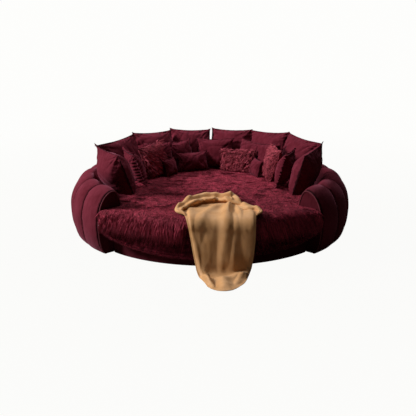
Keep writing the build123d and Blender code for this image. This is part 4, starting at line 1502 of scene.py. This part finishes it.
# folds: rows of run, x, height, width to the left, width to the right
throw_folds = {
    "main": [(0.215, 0.190, 0.024, 0.034, 0.022), (0.25, 0.182, 0.038, 0.040, 0.022),
             (0.34, 0.170, 0.036, 0.046, 0.026), (0.46, 0.158, 0.032, 0.046, 0.032),
             (0.60, 0.150, 0.022, 0.050, 0.050), (0.72, 0.150, 0.018, 0.050, 0.055),
             (0.84, 0.132, 0.015, 0.050, 0.060), (0.96, 0.112, 0.010, 0.045, 0.06),
             (1.06, 0.100, 0.006, 0.034, 0.030)],
    "second": [(0.42, 0.215, 0.000, 0.03, 0.03), (0.56, 0.225, 0.006, 0.03, 0.03),
               (0.70, 0.232, 0.009, 0.035, 0.04), (0.84, 0.222, 0.010, 0.035, 0.050),
               (0.96, 0.224, 0.011, 0.040, 0.060), (1.08, 0.240, 0.011, 0.045, 0.070),
               (1.20, 0.255, 0.008, 0.05, 0.06)],
    "right lobe": [(0.27, 0.245, 0.012, 0.026, 0.022), (0.36, 0.262, 0.020, 0.030, 0.026),
                   (0.46, 0.272, 0.018, 0.030, 0.030), (0.62, 0.280, 0.008, 0.035, 0.035),
                   (0.84, 0.288, 0.002, 0.04, 0.04)],
    "right edge": [(0.38, 0.380, 0.012, 0.06, 0.05), (0.50, 0.366, 0.022, 0.070, 0.050),
                   (0.62, 0.355, 0.016, 0.080, 0.050), (0.78, 0.352, 0.012, 0.09, 0.05),
                   (0.95, 0.340, 0.010, 0.08, 0.04), (1.12, 0.318, 0.010, 0.05, 0.03)],
    "slant": [(0.20, 0.095, 0.010, 0.035, 0.05), (0.30, 0.040, 0.020, 0.038, 0.05),
              (0.44, -0.020, 0.020, 0.040, 0.05), (0.58, -0.070, 0.016, 0.045, 0.050),
              (0.72, -0.105, 0.009, 0.05, 0.05), (0.86, -0.110, 0.002, 0.05, 0.05)],
    "left hem": [(0.22, -0.200, 0.010, 0.02, 0.05), (0.32, -0.198, 0.016, 0.018, 0.05),
                 (0.46, -0.186, 0.014, 0.016, 0.05), (0.62, -0.172, 0.010, 0.014, 0.04),
                 (0.80, -0.148, 0.008, 0.014, 0.03), (1.05, -0.100, 0.006, 0.014, 0.03)],
    "soft middle": [(0.72, 0.010, 0.000, 0.05, 0.05), (0.84, -0.002, 0.007, 0.060, 0.060),
                    (0.96, -0.006, 0.008, 0.060, 0.060), (1.08, -0.010, 0.006, 0.065, 0.06),
                    (1.16, -0.015, 0.004, 0.05, 0.05)],
    "low left": [(1.00, -0.062, 0.002, 0.03, 0.03), (1.10, -0.046, 0.012, 0.03, 0.035),
                 (1.17, -0.040, 0.040, 0.030, 0.026), (1.27, -0.018, 0.036, 0.028, 0.026),
                 (1.38, 0.024, 0.012, 0.02, 0.02)],
    "floor bump": [(1.15, 0.110, 0.006, 0.05, 0.05), (1.25, 0.118, 0.020, 0.045, 0.050),
                   (1.36, 0.118, 0.026, 0.040, 0.055), (1.46, 0.125, 0.008, 0.05, 0.05)],
    "floor right": [(1.08, 0.300, 0.006, 0.04, 0.03), (1.20, 0.284, 0.018, 0.035, 0.03),
                    (1.34, 0.240, 0.012, 0.04, 0.04)],
}


print("folds", len(throw_folds))

# %% [markdown]
# ## Rows and folds of the throw
# Each stretch of the cloth is a block of rows: x, y and z at every point, the run of cloth
# down to there, and the direction in which folds rise. Averaging neighbouring rows joins
# the blocks softly, and a fold is a bell-shaped ridge over them.

# %% Throw helpers


def down(start, end, count, last=False):
    """Even steps from start to end as a column of rows, with or without the last."""
    return np.linspace(start, end, count, endpoint=last)[:, None]


def rows_of(*columns):
    """Rows of the carrier, from values that are numbers, rows or columns."""
    return np.stack(np.broadcast_arrays(*columns, np.zeros(throw_columns)), -1)[..., :-1]


def smooth_rows(points, times):
    """Even a grid out along its columns."""
    for _ in range(times):
        points[1:-1] = (points[:-2] + 2 * points[1:-1] + points[2:]) / 4
    return points


def fold_rise(rows, run, x):
    """The height of one fold over the carrier, rounded on top and steeper at its sides."""
    rows = np.array(rows)
    middle, high, wide_left, wide_right = (np.interp(run, rows[:, 0], rows[:, k])
                                           for k in range(1, 5))
    high = high * smooth_step(run, rows[0, 0] - 0.05, rows[0, 0] + 0.01) * (
        1 - smooth_step(run, rows[-1, 0], rows[-1, 0] + 0.08))
    off = x - middle
    return high * np.exp(-np.abs(off / np.where(off < 0, wide_left, wide_right)) ** 2.2)


print("throw helpers ready")

# %% The bunched far edge
# the far edge, by columns, and the way in from it
far = smooth_rows(along_line(throw_far_edge, throw_columns), 6)
tangent = np.gradient(far, axis=0)
tangent /= np.linalg.norm(tangent, axis=1)[:, None]
inward = np.stack([tangent[:, 1], -tangent[:, 0]], 1)
column = np.linspace(0, 1, throw_columns)
x_share = np.maximum.accumulate((far[:, 0] - far[:, 0].min()) / np.ptp(far[:, 0]))
front_share = 0.35 * column + 0.65 * x_share
front_share = (front_share - front_share[0]) / (front_share[-1] - front_share[0])
bunch_share = np.interp(far[:, 1], [-1.235, -1.16, -1.05, -0.80], [0.10, 0.36, 0.62, 1.0])
run_start = throw_far_edge[:, 1].max()
hang_start = run_start - fur_edge_y + edge_run_length

# right of the knot the edge is no roll but one soft puff, and a dent parts the two
puff_path = np.array([(0.050, 0.004), (0.012, 0.010), (-0.004, 0.032), (0.014, 0.058),
                      (0.050, 0.070), (0.090, 0.062), (0.120, 0.040), (0.150, 0.020)])
roll = smooth_rows(along_line(roll_path, throw_rows_roll), 2)
puff = smooth_rows(along_line(puff_path, throw_rows_roll), 2)
puff_share = smooth_step(far[:, 0], 0.28, 0.34)
knot_dent = 1 - 0.75 * np.exp(-((far[:, 0] - 0.315) / 0.022) ** 2)
bunch_share = bunch_share * knot_dent
crumple_place = rows_of(column * 1.3, np.linspace(0, 0.3, throw_rows_roll)[:, None], 0.0)
crumple = ripple(crumple_place.reshape(-1, 3), 0.085, 71).reshape(throw_rows_roll, throw_columns)
forward = roll[:, :1] + (puff[:, :1] - roll[:, :1]) * puff_share
height = roll[:, 1:] + (puff[:, 1:] - roll[:, 1:]) * puff_share
forward = forward * bunch_share * (1 + 0.25 * crumple)
height = height * bunch_share * (1 + 0.50 * crumple)

# the smooth carrier, row by row: run, x, y, z, and the direction in which folds rise
roll_x = far[:, 0] + inward[:, 0] * forward
roll_y = far[:, 1] + inward[:, 1] * forward
roll_rows = rows_of(run_start - roll_y, roll_x, roll_y, throw_base + height, 0.0, 1.0)

print("roll rows", roll_rows.shape[:2])

# %% Top, edge, hang and floor
gone = roll_path[-1, 0] * bunch_share
start_x, start_y = far[:, 0] + inward[:, 0] * gone, far[:, 1] + inward[:, 1] * gone
front_left, front_right = side_edges[1, 1:]
front_x = front_left + (front_right - front_left) * front_share
share = down(0, 1, throw_rows_top)
top_y = start_y + (fur_edge_y - start_y) * share
top_rows = rows_of(run_start - top_y, start_x + (front_x - start_x) * share ** 1.15, top_y,
                   throw_base, 0.0, 1.0)

turn = np.radians(down(90, 0, throw_rows_edge))
edge_run = run_start - fur_edge_y + edge_run_length * (1 - turn / (math.pi / 2))
edge_rows = rows_of(edge_run, front_x, fur_edge_y + (throw_front - fur_edge_y) * np.cos(turn),
                    throw_base - throw_drop * (1 - np.sin(turn)), -np.cos(turn), np.sin(turn))

fall = down(0, 1, throw_rows_hang)
hang_top, foot_height = throw_base - throw_drop, 0.012
floor_edge = floor_edge_y + 0.130 * (front_share - 0.55) + 0.012 * np.sin(column * 17 + 0.6)
hang_rows = rows_of(hang_start + hang_run_length * fall, front_x,
                    throw_front + (floor_edge - throw_front) * fall ** 1.20,
                    hang_top + (foot_height - hang_top) * fall, -0.93, 0.36)

out = down(0, 1, throw_rows_floor, last=True)
hem_y = throw_tip_y + 0.12 * np.abs(front_share - 0.42) ** 2 * 4
floor_rows = rows_of(hang_start + hang_run_length + floor_run_length * out, front_x,
                     floor_edge - 0.012 + (hem_y - floor_edge + 0.012) * out, 0.010, 0.0, 1.0)

carrier = smooth_rows(np.concatenate([roll_rows, top_rows, edge_rows, hang_rows, floor_rows]), 4)
foot_row = len(carrier) - throw_rows_floor - 24
carrier[foot_row:] = smooth_rows(carrier[foot_row:], 60)
run, x, base_y, base_z, rise_y, rise_z = (carrier[..., k] for k in range(6))
hanging = smooth_step(run, 0.48, 0.75) * (1 - smooth_step(run, 0.95, 1.15))
base_y = base_y - 0.040 * (front_share - 0.5) * hanging
left = np.interp(run, side_edges[:, 0], side_edges[:, 1])
right = np.interp(run, side_edges[:, 0], side_edges[:, 2])
below_edge = smooth_step(run, 0.50, 0.60)
x = x * (1 - below_edge) + (left + (right - left) * front_share) * below_edge

print("carrier", carrier.shape[:2])

# %% [markdown]
# ## Folds on the throw
# The folds are laid over the carrier one by one. Where two meet, the higher one leads and
# the lower adds a little, as cloth does. Fine noise keeps the satin from looking moulded,
# and the hem stays thin at its sides.

# %% Fold and place the throw
rise = np.zeros_like(run)
for rows in throw_folds.values():
    fold = fold_rise(rows, run, x)
    rise = np.maximum(rise, fold) + 0.25 * np.minimum(rise, fold)
flat_place = np.stack([x, run * 0.45, np.zeros_like(x)], -1).reshape(-1, 3)
wave = ripple(flat_place, 0.10, 73).reshape(x.shape)
fine = ripple(flat_place, 0.035, 75).reshape(x.shape)
off_roll = np.ones(len(carrier))
off_roll[:throw_rows_roll + 8] = smooth_step(np.arange(throw_rows_roll + 8),
                                             throw_rows_roll - 6, throw_rows_roll + 8)
rise = (rise + 0.007 * wave + 0.0014 * fine + 0.006) * off_roll[:, None]
# where the cloth meets the floor it dents and then swells, on a line that wanders
bent_run = run - 0.030 * np.sin(x * 17 + 0.9)
floor_roll = np.exp(-((bent_run - 1.235) / 0.060) ** 2)
floor_dent = np.exp(-((bent_run - 1.140) / 0.035) ** 2)
rise = rise + 0.015 * floor_roll - 0.006 * floor_dent
edge_far = np.minimum(front_share, 1 - front_share) * (right - left)
rise = rise * np.maximum(smooth_step(edge_far, -0.004, 0.022), 1 - below_edge)
rise = rise + 0.002 * np.exp(-((edge_far - 0.006) / 0.004) ** 2)
throw_points = np.stack([x, base_y + rise_y * rise, base_z + rise_z * rise], -1)
throw_points[..., 2] = np.maximum(throw_points[..., 2], lowest_point)
throw_mesh = make_mesh("throw_cloth", throw_points.reshape(-1, 3),
                       grid_faces(len(carrier), throw_columns)[:, ::-1])
throw = add_piece("throw_cloth", throw_mesh, satin, "throw", ["throw"])
thicken(throw, throw_thickness)
throw_area = sum(face.area for face in throw_mesh.polygons)
print("throw points", throw_points.shape[:2], "area", round(throw_area, 2))

# %% [markdown]
# ## Floor and background
# A plain pale floor. Where the camera looks at it, most of its brightness is its own, so it
# stays white and keeps a light shadow; to everything else it is a dull board that throws
# little light up at the bed.

# %% Floor
floor_reach = 30.0
floor_corners = [(-1, -1), (1, -1), (1, 1), (-1, 1)]
floor_points = np.array([(x * floor_reach, y * floor_reach, -0.0005) for x, y in floor_corners])
floor_mesh = make_mesh("floor", floor_points, np.array([[0, 1, 2, 3]]))
floor = bpy.data.objects.new("floor", floor_mesh)
scene.collection.objects.link(floor)

floor_finish = Finish("floor", Specular_IOR_Level=0.0, Roughness=1.0)
tone = floor_finish.drift(0.8)
floor_finish.feed(
    Base_Color=floor_finish.blend(tone, (0.22, 0.19, 0.17, 1), (0.24, 0.21, 0.19, 1)))
paper_white = (0.985, 0.985, 0.97, 1)
glow = floor_finish.node("ShaderNodeEmission", {}, {"Color": paper_white})
seen = floor_finish.node("ShaderNodeLightPath", {}, {}, "Is Camera Ray")
far_out = floor_finish.node("ShaderNodeVectorMath", {"operation": "LENGTH"},
                            {0: floor_finish.place}, "Value")
glow_share = seen * floor_finish.range(far_out, 1.8, 7.0, 0.97, 1.0)
floor_finish.finish_with(floor_finish.node(
    "ShaderNodeMixShader", {}, {0: glow_share, 1: floor_finish.surface, 2: glow}))
floor_mesh.materials.append(floor_finish.material)

print("floor laid")

# %% Backdrop
backdrop = bpy.data.worlds.new("backdrop")
backdrop.use_nodes = True
scene.world = backdrop
sky = backdrop.node_tree.nodes
dim = sky["Background"]
dim.inputs["Color"].default_value = (1.0, 0.84, 0.76, 1)
dim.inputs["Strength"].default_value = 0.035
bright = sky.new("ShaderNodeBackground")
bright.inputs["Color"].default_value = paper_white
path = sky.new("ShaderNodeLightPath")
mix = sky.new("ShaderNodeMixShader")
for source, target in ((path.outputs["Is Camera Ray"], mix.inputs[0]),
                       (dim.outputs[0], mix.inputs[1]), (bright.outputs[0], mix.inputs[2]),
                       (mix.outputs[0], sky["World Output"].inputs["Surface"])):
    backdrop.node_tree.links.new(source, target)
scene.view_settings.view_transform = "Standard"
print("backdrop hung")
